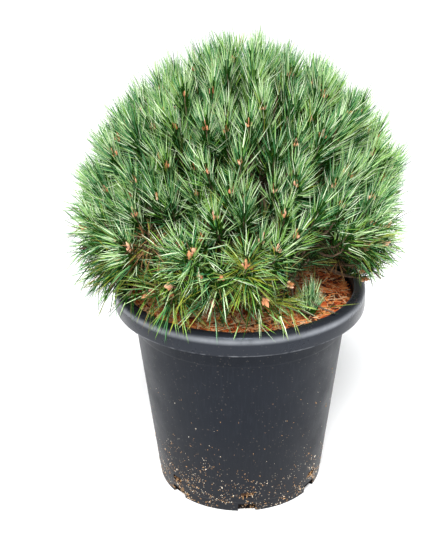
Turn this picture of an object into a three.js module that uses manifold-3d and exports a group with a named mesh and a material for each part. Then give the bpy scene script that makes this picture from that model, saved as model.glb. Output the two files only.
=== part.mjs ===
// A dense, mounded dwarf Scots pine in a black nursery container.
// Millimetres, +Z up. The origin is the centre of the container's underside, and -Y is the front.

import * as THREE from "three";
import * as BufferGeometryUtils from "three/addons/utils/BufferGeometryUtils.js";
import Module from "manifold-3d";

const wasm = await Module();
wasm.setup();

// Driving dimensions of the container
const POT = {
  rimTop: 320,
  rimDrop: 30,
  rimRadius: 184,
  rimRound: 7,
  lipDrop: 8,
  collarRadius: 166,
  collarRound: 3,
  shoulderRise: 6,
  bodyTopRadius: 158.5,
  footRadius: 126,
  footRing: 8,
  floorUnder: 14,
  wall: 3,
  skirtWall: 2.5,
  ridgeZ: 258,
  ridgeOut: 1,
  bandDrop: 2,
  segments: 36,
};
const NOTCH = { count: 7, width: 26, slope: 2, height: 13, depth: 5, firstAngle: 4.5 };
const DRAIN = { width: 19, height: 8, z: 31, reach: 20, inside: 7 };
const GAP = 0.3;

// Growing medium and the coir and bark strewn on it
const MULCH = {
  top: 306,
  under: 296.4,
  radius: 165.5,
  unevenness: 2.6,
  flatRadius: 34,
  edgeDrop: 4,
  slopeFrom: 0.72,
};

// Crown: an even mound, its widest part below the middle
const CROWN = {
  radius: 243,
  middleZ: 419,
  upHeight: 252,
  upPower: 1.91,
  downHeight: 150,
  downPower: 2.47,
  leaderRise: 18,
  leaderFrom: 0.975,
  overshoot: 10,
};

// Raised front edge of the crown: the low front boughs are short, most of all where one has died back
// on the right, so the mulch shows there. Its line is the distance in front of the trunk.
const EDGE = {
  line: 105,
  rise: 0.48,
  hollowX: 125,
  hollowHalf: 47,
  hollowDepth: 118,
  leftX: -150,
  leftHalf: 35,
  leftDepth: 60,
  needlesBelow: 12,
  coreAbove: 12,
};

// Heart of the crown: a leafless space that holds the trunk and the boughs
const HEART = new THREE.Vector3(0, 0, 405);
const HEART_RADIUS = 88;
const FAR = 400;
const RUN_STEP = 2;
const SEEDS = { mulch: 7, masses: 21, foliage: 5 };

// Trunk: a short stem that runs up inside the crown to the leader
const TRUNK = {
  footZ: MULCH.top + GAP,
  tipZ: HEART.z + HEART_RADIUS,
  footRadius: 24,
  neckRadius: 15,
  tipRadius: 6.5,
  flareShare: 0.06,
  lean: 5,
  sides: 10,
  steps: 9,
};

// Boughs: the height by which neighbours alternate, and how they leave the trunk and meet their mass
const BOUGH = { stagger: 7, rise: 20, leave: 34, arrive: 26, sides: 6, steps: 3 };

// Small upright tuft that stands in the open hollow, on a low twig of its own
const LOW_TUFT = { x: 103, y: -87, z: 336, width: 13, height: 22, stem: 3, drawn: 20 };

// Dense inside of each mass, the short tufts on it, and the space that masses leave between them
const CORE = { depth: 46, longest: 78, least: 10, evenness: 0.88, clear: 2, fromHeart: 8, aboveSoil: 10 };
const TUFT = { height: 22, variation: 12, facing: 0.35 };
const STEM = { share: 0.9, sides: 5 };
const SPACE = { needle: 0.6, shoot: 14, heart: 4, pot: 3, fringe: 24 };

// Shoots: a slim three-sided core with a low ring and a high ring of needles
const SHOOT = {
  count: 140,
  radius: 4.6,
  sunk: 8,
  rooted: 0.8,
  shortest: 44,
  bud: 16,
  ring: 18,
  rise: 14,
  needle: 42,
  topNeedle: 36,
  lowTilt: 62,
  topTilt: 27,
  tiltSpread: 8,
  uneven: 12,
};

// Whorls of the crown. Angles run from the front towards the right, and tilt is up from level.
const WHORLS = [
  { name: "upper", count: 5, start: 20, tilt: 46, wobble: 5, trunkZ: 442, baseRadius: 5.4, tipRadius: 3.8 },
  { name: "middle", count: 8, start: 3, tilt: 13, wobble: 4, trunkZ: 392, baseRadius: 5.4, tipRadius: 4 },
  { name: "lower", count: 8, start: 40, tilt: -22, wobble: 3, trunkZ: 342, baseRadius: 5.6, tipRadius: 4 },
];

const colours = {
  pot: new THREE.MeshStandardMaterial({ color: 0x33353a, roughness: 0.5, metalness: 0 }),
  soil: new THREE.MeshStandardMaterial({ color: 0x3a2a1e, roughness: 1, metalness: 0 }),
  mulch: new THREE.MeshStandardMaterial({ color: 0x8a5f3c, roughness: 1, metalness: 0 }),
  bark: new THREE.MeshStandardMaterial({ color: 0x7a5a44, roughness: 0.9, metalness: 0 }),
  needles: new THREE.MeshStandardMaterial({ color: 0x6f8f5c, roughness: 0.6, metalness: 0 }),
  lowNeedles: new THREE.MeshStandardMaterial({ color: 0x64783f, roughness: 0.6, metalness: 0 }),
};

const plant = new THREE.Group();
plant.name = "potted_scots_pine";

// Seeded random numbers from 0 to 1
function seededRandom(seed) {
  let state = seed >>> 0;
  return () => {
    state = (state + 0x6d2b79f5) >>> 0;
    let mixed = state;
    mixed = Math.imul(mixed ^ (mixed >>> 15), mixed | 1);
    mixed ^= mixed + Math.imul(mixed ^ (mixed >>> 7), mixed | 61);
    return ((mixed ^ (mixed >>> 14)) >>> 0) / 4294967296;
  };
}

const radians = THREE.MathUtils.degToRad;

// Unit vector at an angle from the front towards the right, tilted up from level
function heading(angle, tilt) {
  const turn = radians(angle);
  const rise = radians(tilt);
  return new THREE.Vector3(
    Math.sin(turn) * Math.cos(rise),
    -Math.cos(turn) * Math.cos(rise),
    Math.sin(rise),
  );
}

// Geometry with shared vertices and without the empty triangles that a pole leaves
function weld(geometry) {
  const bare = geometry.clone();
  bare.deleteAttribute("normal");
  bare.deleteAttribute("uv");
  bare.clearGroups();
  const merged = BufferGeometryUtils.mergeVertices(bare, 1e-4);
  const index = Array.from(merged.index.array);
  const kept = [];
  for (let i = 0; i < index.length; i += 3) {
    const [a, b, c] = index.slice(i, i + 3);
    if (a !== b && b !== c && c !== a) kept.push(a, b, c);
  }
  merged.setIndex(kept);
  return merged;
}

// Closed solid of a geometry, with its faces turned outwards
function solidOf(geometry) {
  const merged = weld(geometry);
  const vertProperties = Float32Array.from(merged.attributes.position.array);
  const triVerts = Uint32Array.from(merged.index.array);
  const place = (i) => new THREE.Vector3().fromArray(vertProperties, 3 * i);
  let volume = 0;
  for (let i = 0; i < triVerts.length; i += 3) {
    const [a, b, c] = [place(triVerts[i]), place(triVerts[i + 1]), place(triVerts[i + 2])];
    volume += a.dot(b.cross(c));
  }
  if (volume < 0) triVerts.reverse();
  return new wasm.Manifold(new wasm.Mesh({ numProp: 3, vertProperties, triVerts }));
}

// The largest body of a solid: loose scraps are dropped and sealed hollows are filled
function mainBody(solid) {
  const bodies = solid.decompose();
  bodies.sort((a, b) => b.volume() - a.volume());
  return bodies[0];
}

function geometryOf(solid) {
  const mesh = solid.getMesh();
  const geometry = new THREE.BufferGeometry();
  const places = new Float32Array(mesh.numVert * 3);
  for (let i = 0; i < mesh.numVert; i += 1) {
    for (let k = 0; k < 3; k += 1) places[3 * i + k] = mesh.vertProperties[mesh.numProp * i + k];
  }
  geometry.setAttribute("position", new THREE.BufferAttribute(places, 3));
  geometry.setIndex(Array.from(mesh.triVerts));
  geometry.computeVertexNormals();
  return geometry;
}

function addPiece(name, solid, material) {
  const mesh = new THREE.Mesh(geometryOf(solid), material);
  mesh.name = name;
  plant.add(mesh);
}

// Round piece from a profile of [radius, height] points
function turned(profile, segments) {
  const points = profile.map(([radius, height]) => new THREE.Vector2(radius, height));
  return new THREE.LatheGeometry(points, segments).rotateX(Math.PI / 2);
}

// Container: tapered wall on a notched foot ring, a collar, and a lip that turns down outside it
function bodyRadius(z) {
  const skirtZ = POT.rimTop - POT.rimDrop;
  return THREE.MathUtils.mapLinear(z, 0, skirtZ, POT.footRadius, POT.bodyTopRadius);
}

function potShell() {
  const skirtZ = POT.rimTop - POT.rimDrop;
  const collarOut = POT.collarRadius + POT.wall;
  const shoulderZ = skirtZ + POT.shoulderRise;
  const lipUnder = POT.rimTop - POT.lipDrop;
  const floorTop = POT.floorUnder + POT.wall;
  const round = POT.rimRound;
  const profile = [
    [0, POT.floorUnder],
    [POT.footRadius - POT.footRing, POT.floorUnder],
    [POT.footRadius - POT.footRing, 0],
    [POT.footRadius, 0],
    [bodyRadius(POT.ridgeZ), POT.ridgeZ],
    [bodyRadius(POT.ridgeZ) + POT.ridgeOut, POT.ridgeZ + POT.ridgeOut],
    [POT.bodyTopRadius + POT.ridgeOut, skirtZ - POT.bandDrop],
    [collarOut, shoulderZ - 1],
    [collarOut, lipUnder],
    [POT.rimRadius - POT.skirtWall, lipUnder],
    [POT.rimRadius - POT.skirtWall, skirtZ],
    [POT.rimRadius, skirtZ],
    [POT.rimRadius, POT.rimTop - round],
    [POT.rimRadius - 0.3 * round, POT.rimTop - 0.3 * round],
    [POT.rimRadius - round, POT.rimTop],
    [POT.collarRadius + POT.collarRound, POT.rimTop],
    [POT.collarRadius, POT.rimTop - POT.collarRound],
    [POT.collarRadius, shoulderZ],
    [POT.bodyTopRadius - POT.wall, skirtZ],
    [bodyRadius(floorTop) - POT.wall, floorTop],
    [0, floorTop],
  ];
  return solidOf(turned(profile, POT.segments));
}

// Cutter that points outwards at an angle from the front
function outwardCutter(shape, reach, angle) {
  const cutter = new THREE.ExtrudeGeometry(shape, { depth: reach, bevelEnabled: false, curveSegments: 3 });
  cutter.rotateX(Math.PI / 2);
  cutter.translate(0, reach, 0);
  cutter.rotateZ(Math.PI + radians(angle));
  return cutter;
}

// Blind recess in the outside of the foot ring, open at the bottom
function footNotch(angle) {
  const shape = new THREE.Shape();
  const half = NOTCH.width / 2;
  shape.moveTo(-half, -1);
  shape.lineTo(half, -1);
  shape.lineTo(half - NOTCH.slope, NOTCH.height);
  shape.lineTo(NOTCH.slope - half, NOTCH.height);
  shape.closePath();
  const cutter = outwardCutter(shape, 3 * NOTCH.depth, angle);
  const out = heading(angle, 0).multiplyScalar(POT.footRadius - NOTCH.depth);
  cutter.translate(out.x, out.y, 0);
  return solidOf(cutter);
}

function drainHole(angle) {
  const shape = new THREE.Shape();
  const end = DRAIN.height / 2;
  const half = DRAIN.width / 2 - end;
  shape.absarc(half, DRAIN.z, end, -Math.PI / 2, Math.PI / 2, false);
  shape.absarc(-half, DRAIN.z, end, Math.PI / 2, 1.5 * Math.PI, false);
  const cutter = outwardCutter(shape, DRAIN.reach, angle);
  const out = heading(angle, 0).multiplyScalar(POT.footRadius - DRAIN.inside);
  cutter.translate(out.x, out.y, 0);
  return solidOf(cutter);
}

function makePot() {
  let pot = potShell();
  for (let i = 0; i < NOTCH.count; i += 1) {
    const angle = NOTCH.firstAngle + (i * 360) / NOTCH.count;
    pot = pot.subtract(footNotch(angle)).subtract(drainHole(angle));
  }
  addPiece("pot", mainBody(pot), colours.pot);
}

// Growing medium that fills the container up to its shoulder
function makeSoil() {
  const skirtZ = POT.rimTop - POT.rimDrop;
  const floorZ = POT.floorUnder + POT.wall + GAP;
  const wallIn = POT.wall + 1.6 * GAP;
  const profile = [
    [0, floorZ],
    [bodyRadius(floorZ) - wallIn, floorZ],
    [bodyRadius(skirtZ) - wallIn, skirtZ + 0.4],
    [MULCH.radius - GAP, MULCH.under - GAP],
    [0, MULCH.under - GAP],
  ];
  addPiece("soil", solidOf(turned(profile, POT.segments)), colours.soil);
}

// Loose top layer with an uneven face, level round the trunk's foot
function makeMulch() {
  const edge = MULCH.radius;
  const profile = [
    [0, MULCH.under],
    [edge, MULCH.under],
    [edge, MULCH.top - MULCH.edgeDrop],
    [(edge * (1 + MULCH.slopeFrom)) / 2, MULCH.top - MULCH.edgeDrop / 3],
    [edge * MULCH.slopeFrom, MULCH.top],
    [edge / 2, MULCH.top],
    [MULCH.flatRadius, MULCH.top],
    [0, MULCH.top],
  ];
  const layer = weld(turned(profile, POT.segments));
  const random = seededRandom(SEEDS.mulch);
  const places = layer.attributes.position;
  for (let i = 0; i < places.count; i += 1) {
    const reach = Math.hypot(places.getX(i), places.getY(i));
    const onTop = places.getZ(i) > MULCH.under + 1;
    const rise = (random() - 0.5) * 2 * MULCH.unevenness;
    if (onTop && reach > MULCH.flatRadius + 1) places.setZ(i, places.getZ(i) + rise);
  }
  addPiece("mulch", solidOf(layer), colours.mulch);
}

// Tapering limb: a cylinder bent along a curve, its radius given along its length
function limb(curve, radiusAt, sides, steps) {
  const blank = new THREE.CylinderGeometry(1, 1, 1, sides, steps);
  const frames = curve.computeFrenetFrames(steps, false);
  const places = blank.attributes.position;
  for (let i = 0; i < places.count; i += 1) {
    const along = THREE.MathUtils.clamp(places.getY(i) + 0.5, 0, 1);
    const step = Math.round(along * steps);
    const centre = curve.getPointAt(along);
    const radius = radiusAt(along);
    centre.addScaledVector(frames.normals[step], places.getX(i) * radius);
    centre.addScaledVector(frames.binormals[step], places.getZ(i) * radius);
    places.setXYZ(i, centre.x, centre.y, centre.z);
  }
  return blank;
}

const trunkLine = new THREE.CubicBezierCurve3(
  new THREE.Vector3(0, 0, TRUNK.footZ),
  new THREE.Vector3(0, 0, TRUNK.footZ + 60),
  new THREE.Vector3(TRUNK.lean, -0.6 * TRUNK.lean, TRUNK.tipZ - 60),
  new THREE.Vector3(0, 0, TRUNK.tipZ),
);

// Root flare at the foot, then an even taper to the leader
function trunkRadius(along, grown = 0) {
  const flare = (TRUNK.footRadius - TRUNK.neckRadius) * Math.exp(-along / TRUNK.flareShare);
  return THREE.MathUtils.lerp(TRUNK.neckRadius, TRUNK.tipRadius, along) + flare + grown;
}

function makeTrunk() {
  const trunk = limb(trunkLine, (along) => trunkRadius(along), TRUNK.sides, TRUNK.steps);
  const places = trunk.attributes.position;
  for (let i = 0; i < places.count; i += 1) {
    if (places.getZ(i) < TRUNK.footZ + 1) places.setZ(i, TRUNK.footZ);
    if (places.getZ(i) > TRUNK.tipZ - 1) places.setZ(i, TRUNK.tipZ);
  }
  addPiece("trunk", solidOf(trunk), colours.bark);
}

// One entry for each mass of foliage: its name, its heading from the heart, and its whorl
function massList() {
  const random = seededRandom(SEEDS.masses);
  const list = [{ name: "top", toward: heading(0, 90), whorl: null }];
  for (const whorl of WHORLS) {
    for (let i = 0; i < whorl.count; i += 1) {
      const step = 360 / whorl.count;
      const angle = whorl.start + i * step + (random() - 0.5) * 2 * whorl.wobble;
      const tilt = whorl.tilt + (random() - 0.5) * 2 * whorl.wobble;
      const toward = heading(angle, tilt);
      const tuft = whorl.name === "lower" && i === 0;
      const name = tuft ? "low_tuft" : `${whorl.name}_${i + 1}`;
      list.push({ name, toward, whorl, angle, place: i, tuft });
    }
  }
  return list;
}

const masses = massList();

// Distance outside the crown's surface, as a ratio that is 1 on the surface
function crownRatio(point, shrink) {
  const up = point.z >= CROWN.middleZ;
  const power = up ? CROWN.upPower : CROWN.downPower;
  const height = (up ? CROWN.upHeight : CROWN.downHeight) - shrink;
  const reach = Math.hypot(point.x, point.y) / (CROWN.radius - shrink);
  return reach ** power + (Math.abs(point.z - CROWN.middleZ) / height) ** power;
}

// How far a ray runs before a test first fails
function runLength(from, toward, longest, allowed) {
  let length = 0;
  while (length < longest) {
    if (!allowed(from.clone().addScaledVector(toward, length + RUN_STEP))) break;
    length += RUN_STEP;
  }
  return length;
}

// Clearance of a point from the planes between a mass and its neighbours
function cellClearance(mass, point) {
  const arm = point.clone().sub(HEART);
  let least = Infinity;
  for (const other of masses) {
    if (other === mass) continue;
    const normal = mass.toward.clone().sub(other.toward).normalize();
    least = Math.min(least, arm.dot(normal));
  }
  return least;
}

// Height of a point above the crown's raised front edge
function aboveEdge(point) {
  const hollow = Math.exp(-(((point.x - EDGE.hollowX) / EDGE.hollowHalf) ** 4));
  const left = Math.exp(-(((point.x - EDGE.leftX) / EDGE.leftHalf) ** 2));
  const line = EDGE.line - EDGE.hollowDepth * hollow - EDGE.leftDepth * left;
  return point.z - MULCH.top - EDGE.rise * (-point.y - line);
}

// Clear of the container's lip and of the top layer
function clearOfPot(point) {
  const reach = Math.hypot(point.x, point.y);
  const outside = reach > POT.rimRadius + SPACE.pot;
  return point.z > POT.rimTop + SPACE.pot || (outside && point.z > POT.rimTop - SPACE.fringe);
}

function needleFits(mass, from, tip) {
  for (const share of [0.25, 0.5, 0.75, 1]) {
    const point = from.clone().lerp(tip, share);
    if (cellClearance(mass, point) < SPACE.needle) return false;
    if (!clearOfPot(point) || aboveEdge(point) < -EDGE.needlesBelow) return false;
    if (point.distanceTo(HEART) < HEART_RADIUS + SPACE.heart) return false;
  }
  const leader = tip.z > CROWN.middleZ + CROWN.leaderFrom * CROWN.upHeight;
  return leader || crownRatio(tip, -CROWN.overshoot) < 1;
}

// Dense inside of a mass: a rounded lump that fills its own space and stops short of the crown's face
function coreFits(mass, point) {
  if (cellClearance(mass, point) < CORE.clear) return false;
  if (crownRatio(point, CORE.depth) > 1) return false;
  const overLip = Math.hypot(point.x, point.y) > POT.collarRadius - CORE.aboveSoil;
  if (point.z < (overLip ? POT.rimTop + 2 * SPACE.pot : MULCH.top + CORE.aboveSoil)) return false;
  if (aboveEdge(point) < EDGE.coreAbove) return false;
  return point.distanceTo(HEART) > HEART_RADIUS + CORE.fromHeart;
}

function coreLength(mass, toward) {
  return runLength(mass.centre, toward, CORE.longest, (point) => coreFits(mass, point));
}

function makeCore(mass, random) {
  const lump = weld(new THREE.IcosahedronGeometry(1, 1));
  const places = lump.attributes.position;
  for (let i = 0; i < places.count; i += 1) {
    const toward = new THREE.Vector3().fromBufferAttribute(places, i).normalize();
    const length = coreLength(mass, toward);
    const radius = Math.max(length * THREE.MathUtils.lerp(CORE.evenness, 1, random()), CORE.least);
    const point = mass.centre.clone().addScaledVector(toward, radius);
    places.setXYZ(i, point.x, point.y, point.z);
  }
  const drawn = (out, middle, tip) => {
    const outward = out.dot(middle.clone().sub(HEART).normalize()) > TUFT.facing;
    return outward && needleFits(mass, middle, tip);
  };
  return roughen(lump, mass.centre, TUFT.height, drawn, random);
}

// Faces of a lump that pass a test are drawn out into short tufts
function roughen(lump, centre, height, drawn, random) {
  const places = Array.from(lump.attributes.position.array);
  const index = Array.from(lump.index.array);
  const corner = (i) => new THREE.Vector3().fromArray(places, 3 * i);
  const faces = [];
  for (let i = 0; i < index.length; i += 3) {
    const face = index.slice(i, i + 3);
    const [a, b, c] = face.map(corner);
    const middle = a.clone().add(b).add(c).divideScalar(3);
    const out = middle.clone().sub(centre).normalize();
    const tip = middle.clone().addScaledVector(out, height + TUFT.variation * random());
    if (!drawn(out, middle, tip)) {
      faces.push(...face);
      continue;
    }
    const added = places.length / 3;
    places.push(tip.x, tip.y, tip.z);
    faces.push(face[0], face[1], added, face[1], face[2], added, face[2], face[0], added);
  }
  const geometry = new THREE.BufferGeometry();
  geometry.setAttribute("position", new THREE.Float32BufferAttribute(places, 3));
  geometry.setIndex(faces);
  return geometry;
}

// Middle of a mass, on its heading between the heart and the crown's face
function settleCentre(mass) {
  const inside = (point) => crownRatio(point, CORE.depth) < 1;
  const face = runLength(HEART, mass.toward, FAR, inside);
  const middle = (HEART_RADIUS + CORE.fromHeart + face) / 2;
  mass.centre = HEART.clone().addScaledVector(mass.toward, middle);
}

// Shoot that ends in a brush of needles: a three-sided core whose upper faces are drawn out to points
function makeShoot(mass, root, tip, random) {
  const axis = tip.clone().sub(root);
  const length = axis.length() - SHOOT.bud;
  axis.normalize();
  const turn = random() * Math.PI * 2;
  const side = new THREE.Vector3(Math.cos(turn), Math.sin(turn), 0.3).cross(axis).normalize();
  const across = axis.clone().cross(side);
  const levels = [
    { along: 0, radius: SHOOT.radius },
    { along: length - SHOOT.bud - SHOOT.ring, radius: SHOOT.radius },
    { along: length - SHOOT.bud, radius: SHOOT.radius },
  ];
  const blank = weld(new THREE.CylinderGeometry(1, 1, 2, 3, 2));
  const places = blank.attributes.position;
  for (let i = 0; i < places.count; i += 1) {
    const level = levels[Math.round(places.getY(i)) + 1];
    const point = root.clone().addScaledVector(axis, level.along);
    point.addScaledVector(side, places.getX(i) * level.radius);
    point.addScaledVector(across, places.getZ(i) * level.radius);
    const onAxis = Math.hypot(places.getX(i), places.getZ(i)) < 0.1;
    if (onAxis && places.getY(i) > 0) point.addScaledVector(axis, SHOOT.bud);
    places.setXYZ(i, point.x, point.y, point.z);
  }
  return drawOutNeedles(mass, blank, { root, axis, length }, random);
}

// Each upper face of the shoot becomes a needle, where the needle stays in the mass's own space
function drawOutNeedles(mass, blank, shoot, random) {
  const places = Array.from(blank.attributes.position.array);
  const index = Array.from(blank.index.array);
  const corner = (i) => new THREE.Vector3().fromArray(places, 3 * i);
  const faces = [];
  for (let i = 0; i < index.length; i += 3) {
    const face = index.slice(i, i + 3);
    const [a, b, c] = face.map(corner);
    const middle = a.clone().add(b).add(c).divideScalar(3);
    const along = middle.clone().sub(shoot.root).dot(shoot.axis);
    const out = middle.clone().sub(shoot.root).addScaledVector(shoot.axis, -along).normalize();
    const high = along > shoot.length - SHOOT.bud;
    const bearing = along > shoot.length - SHOOT.bud - SHOOT.ring && out.length() > 0.5;
    const tip = bearing ? needleTip(mass, middle, out, shoot.axis, high, random) : null;
    if (!tip) {
      faces.push(...face);
      continue;
    }
    const added = places.length / 3;
    places.push(tip.x, tip.y, tip.z);
    faces.push(face[0], face[1], added, face[1], face[2], added, face[2], face[0], added);
  }
  const geometry = new THREE.BufferGeometry();
  geometry.setAttribute("position", new THREE.Float32BufferAttribute(places, 3));
  geometry.setIndex(faces);
  return solidOf(geometry);
}

function needleTip(mass, from, out, axis, high, random) {
  const tilt = radians((high ? SHOOT.topTilt : SHOOT.lowTilt) + (random() - 0.5) * SHOOT.tiltSpread);
  const full = (high ? SHOOT.topNeedle : SHOOT.needle) * (0.9 + 0.2 * random());
  const toward = axis.clone().multiplyScalar(Math.cos(tilt)).addScaledVector(out, Math.sin(tilt));
  for (const share of [1, 0.7, 0.45]) {
    const tip = from.clone().addScaledVector(toward, full * share);
    if (needleFits(mass, from, tip)) return tip;
  }
  return null;
}

// Ends of the shoots, spread evenly over the crown's face
function shootTips(random) {
  const golden = Math.PI * (3 - Math.sqrt(5));
  const tips = [];
  for (let i = 0; i < SHOOT.count; i += 1) {
    const rise = 1 - (2 * (i + 0.5)) / SHOOT.count;
    const level = Math.sqrt(1 - rise * rise);
    const turn = i * golden;
    const toward = new THREE.Vector3(Math.cos(turn) * level, Math.sin(turn) * level, rise);
    const face = runLength(HEART, toward, FAR, (point) => crownRatio(point, 0) < 1);
    const leader = THREE.MathUtils.smoothstep(rise, CROWN.leaderFrom, 1) * CROWN.leaderRise;
    const tip = HEART.clone().addScaledVector(toward, face + leader - SHOOT.uneven * random() ** 2);
    if (clearOfPot(tip) && aboveEdge(tip) > 0) tips.push(tip);
  }
  return tips;
}

function owner(point) {
  const toward = point.clone().sub(HEART).normalize();
  let best = masses[0];
  for (const mass of masses) {
    if (mass.toward.dot(toward) > best.toward.dot(toward)) best = mass;
  }
  return best;
}

// Where a shoot leaves the lump, on the line to its tip from a point low in the mass
function shootRoot(mass, tip) {
  const start = mass.centre.clone();
  start.z -= SHOOT.rise;
  const toward = tip.clone().sub(start).normalize();
  const inLump = (point) => {
    const arm = point.clone().sub(mass.centre);
    const reach = arm.length();
    if (reach < 1) return true;
    return reach < SHOOT.rooted * coreLength(mass, arm.divideScalar(reach));
  };
  const length = Math.max(runLength(start, toward, CORE.longest, inLump) - SHOOT.sunk, 0);
  return start.addScaledVector(toward, length);
}

// Upright lump of fine needles on a twig, drawn up into points
function makeLowTuft(mass, random) {
  const middle = new THREE.Vector3(LOW_TUFT.x, LOW_TUFT.y, LOW_TUFT.z);
  const ball = new THREE.IcosahedronGeometry(1, 1);
  ball.scale(LOW_TUFT.width, LOW_TUFT.width, LOW_TUFT.height);
  const lump = weld(ball.translate(middle.x, middle.y, middle.z));
  const drawn = (out, from, tip) => out.z > TUFT.facing && cellClearance(mass, tip) > SPACE.needle;
  const spiky = solidOf(roughen(lump, middle, LOW_TUFT.drawn, drawn, random));
  const twig = limb(new THREE.LineCurve3(mass.centre, middle), () => LOW_TUFT.stem, STEM.sides, 1);
  return spiky.add(solidOf(twig));
}

function makeMass(mass, tips, random) {
  let body = solidOf(makeCore(mass, random));
  const stemFoot = HEART.clone().addScaledVector(mass.toward, HEART_RADIUS + GAP);
  const limbRadius = mass.whorl ? mass.whorl.tipRadius : TRUNK.tipRadius;
  const stemLine = new THREE.LineCurve3(stemFoot, mass.centre);
  body = body.add(solidOf(limb(stemLine, () => STEM.share * limbRadius, STEM.sides, 1)));
  if (mass.tuft) body = body.add(makeLowTuft(mass, random));
  for (const tip of tips) {
    const root = shootRoot(mass, tip);
    if (tip.distanceTo(root) < SHOOT.shortest) continue;
    body = body.add(makeShoot(mass, root, tip, random));
  }
  const material = mass.toward.z < 0 ? colours.lowNeedles : colours.needles;
  addPiece(`foliage_${mass.name}`, mainBody(body), material);
}

function makeFoliage() {
  const random = seededRandom(SEEDS.foliage);
  masses.forEach(settleCentre);
  const tips = shootTips(random);
  for (const mass of masses) {
    const own = tips.filter((tip) => owner(tip) === mass);
    const inside = own.map((tip) => {
      const short = SPACE.shoot - cellClearance(mass, tip);
      return short > 0 ? tip.lerp(mass.centre, short / tip.distanceTo(mass.centre)) : tip;
    });
    makeMass(mass, inside, random);
  }
}

// Bough: one tapering limb from the trunk to the stem of its mass, its foot cut to the trunk's surface
function makeBough(mass, trunkGrown) {
  const whorl = mass.whorl;
  const stagger = mass.place % 2 ? BOUGH.stagger : -BOUGH.stagger;
  const along = (whorl.trunkZ + stagger - TRUNK.footZ) / (TRUNK.tipZ - TRUNK.footZ);
  const start = trunkLine.getPointAt(along);
  const end = HEART.clone().addScaledVector(mass.toward, HEART_RADIUS);
  const line = new THREE.CubicBezierCurve3(
    start,
    start.clone().addScaledVector(heading(mass.angle, BOUGH.rise), BOUGH.leave),
    end.clone().addScaledVector(mass.toward, -BOUGH.arrive),
    end,
  );
  const radiusAt = (share) => THREE.MathUtils.lerp(whorl.baseRadius, whorl.tipRadius, share);
  const bough = solidOf(limb(line, radiusAt, BOUGH.sides, BOUGH.steps)).subtract(trunkGrown);
  addPiece(`bough_${mass.name}`, mainBody(bough), colours.bark);
}

function makeBoughs() {
  const grown = (along) => trunkRadius(along, GAP);
  const trunkGrown = solidOf(limb(trunkLine, grown, TRUNK.sides, TRUNK.steps));
  for (const mass of masses) {
    if (mass.whorl) makeBough(mass, trunkGrown);
  }
}

makePot();
makeSoil();
makeMulch();
makeTrunk();
makeBoughs();
makeFoliage();

export default plant;
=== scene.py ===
"""A dense, mounded dwarf Scots pine in a black nursery container.

Metres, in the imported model's frame: +Z is up, -Y is the front and +X is to its right.
"""
import math

import bpy
import numpy as np
from mathutils import Matrix, Vector, noise


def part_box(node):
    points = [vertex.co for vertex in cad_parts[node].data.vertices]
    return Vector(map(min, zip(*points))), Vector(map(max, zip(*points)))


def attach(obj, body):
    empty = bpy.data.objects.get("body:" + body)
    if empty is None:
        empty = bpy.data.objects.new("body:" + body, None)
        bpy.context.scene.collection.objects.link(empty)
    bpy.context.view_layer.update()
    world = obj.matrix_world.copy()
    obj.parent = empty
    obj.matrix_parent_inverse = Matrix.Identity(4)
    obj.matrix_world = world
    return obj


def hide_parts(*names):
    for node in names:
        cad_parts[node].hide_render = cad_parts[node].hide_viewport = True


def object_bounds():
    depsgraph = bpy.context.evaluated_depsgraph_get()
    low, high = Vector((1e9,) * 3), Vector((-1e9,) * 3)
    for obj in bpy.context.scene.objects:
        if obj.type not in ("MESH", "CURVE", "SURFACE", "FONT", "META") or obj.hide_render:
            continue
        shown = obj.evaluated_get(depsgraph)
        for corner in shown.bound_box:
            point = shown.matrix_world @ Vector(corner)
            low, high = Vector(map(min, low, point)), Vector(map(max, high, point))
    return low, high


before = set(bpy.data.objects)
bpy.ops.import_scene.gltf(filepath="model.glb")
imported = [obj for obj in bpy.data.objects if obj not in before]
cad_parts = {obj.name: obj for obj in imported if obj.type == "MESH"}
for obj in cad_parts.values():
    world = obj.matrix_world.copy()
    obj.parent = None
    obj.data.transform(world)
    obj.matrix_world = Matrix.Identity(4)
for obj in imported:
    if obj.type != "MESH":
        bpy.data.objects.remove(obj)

cad_low, cad_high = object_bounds()

# Container, from its node and the source's sizes
pot_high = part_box("pot")[1]
RIM_TOP = pot_high.z
RIM_RADIUS = pot_high.x
RIM_DROP = 0.030
LIP_EDGE = RIM_TOP - RIM_DROP
COLLAR_RADIUS = 0.166
BODY_TOP_RADIUS = 0.1585
FOOT_RADIUS = 0.126
FOOT_RING = 0.008
FLOOR_UNDER = 0.014
WALL = 0.003
STEP_Z = 0.017
RIDGE_Z = 0.258
ROUND_SIDES = 192
ARC_STEP = 0.0012
NOTCHES = 7
NOTCH_FIRST = 4.5
NOTCH_ANGLES = [NOTCH_FIRST + i * 360 / NOTCHES for i in range(NOTCHES)]
NOTCH_WIDTH = 0.026
NOTCH_HEIGHT = 0.013
NOTCH_DEPTH = 0.006
DRAIN_WIDTH = 0.019
DRAIN_HEIGHT = 0.008
DRAIN_Z = 0.031
MULCH_TOP = 0.306
MULCH_RADIUS = 0.1655

# Crown: an even mound round a leafless heart that holds the trunk and the boughs
CROWN_RADIUS = 0.243
CROWN_MIDDLE = 0.419
CROWN_UP = 0.252
CROWN_UP_POWER = 1.91
CROWN_DOWN = 0.150
CROWN_DOWN_POWER = 2.47
LEADER_RISE = 0.018
LEADER_FROM = 0.975
HEART = np.array([0.0, 0.0, 0.405])
HEART_RADIUS = 0.088
REACH = 0.2575
LOWEST_RISE = -0.62
GOLDEN_TURN = 2.39996
NEEDLE_WIDTHS = (0.00095, 0.00145)
TWIG_RADII = (0.0022, 0.0013)
TWIG_STEPS = 7

# Raised front edge of the crown: its line before the trunk, its rise outwards, and where it is cut back
EDGE_LINE = 0.088
EDGE_RISE = 0.48
HOLLOW_X = 0.122
HOLLOW_HALF = 0.049
LEFT_X = -0.150
LEFT_HALF = 0.035
LEFT_DEPTH = 0.100

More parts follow.
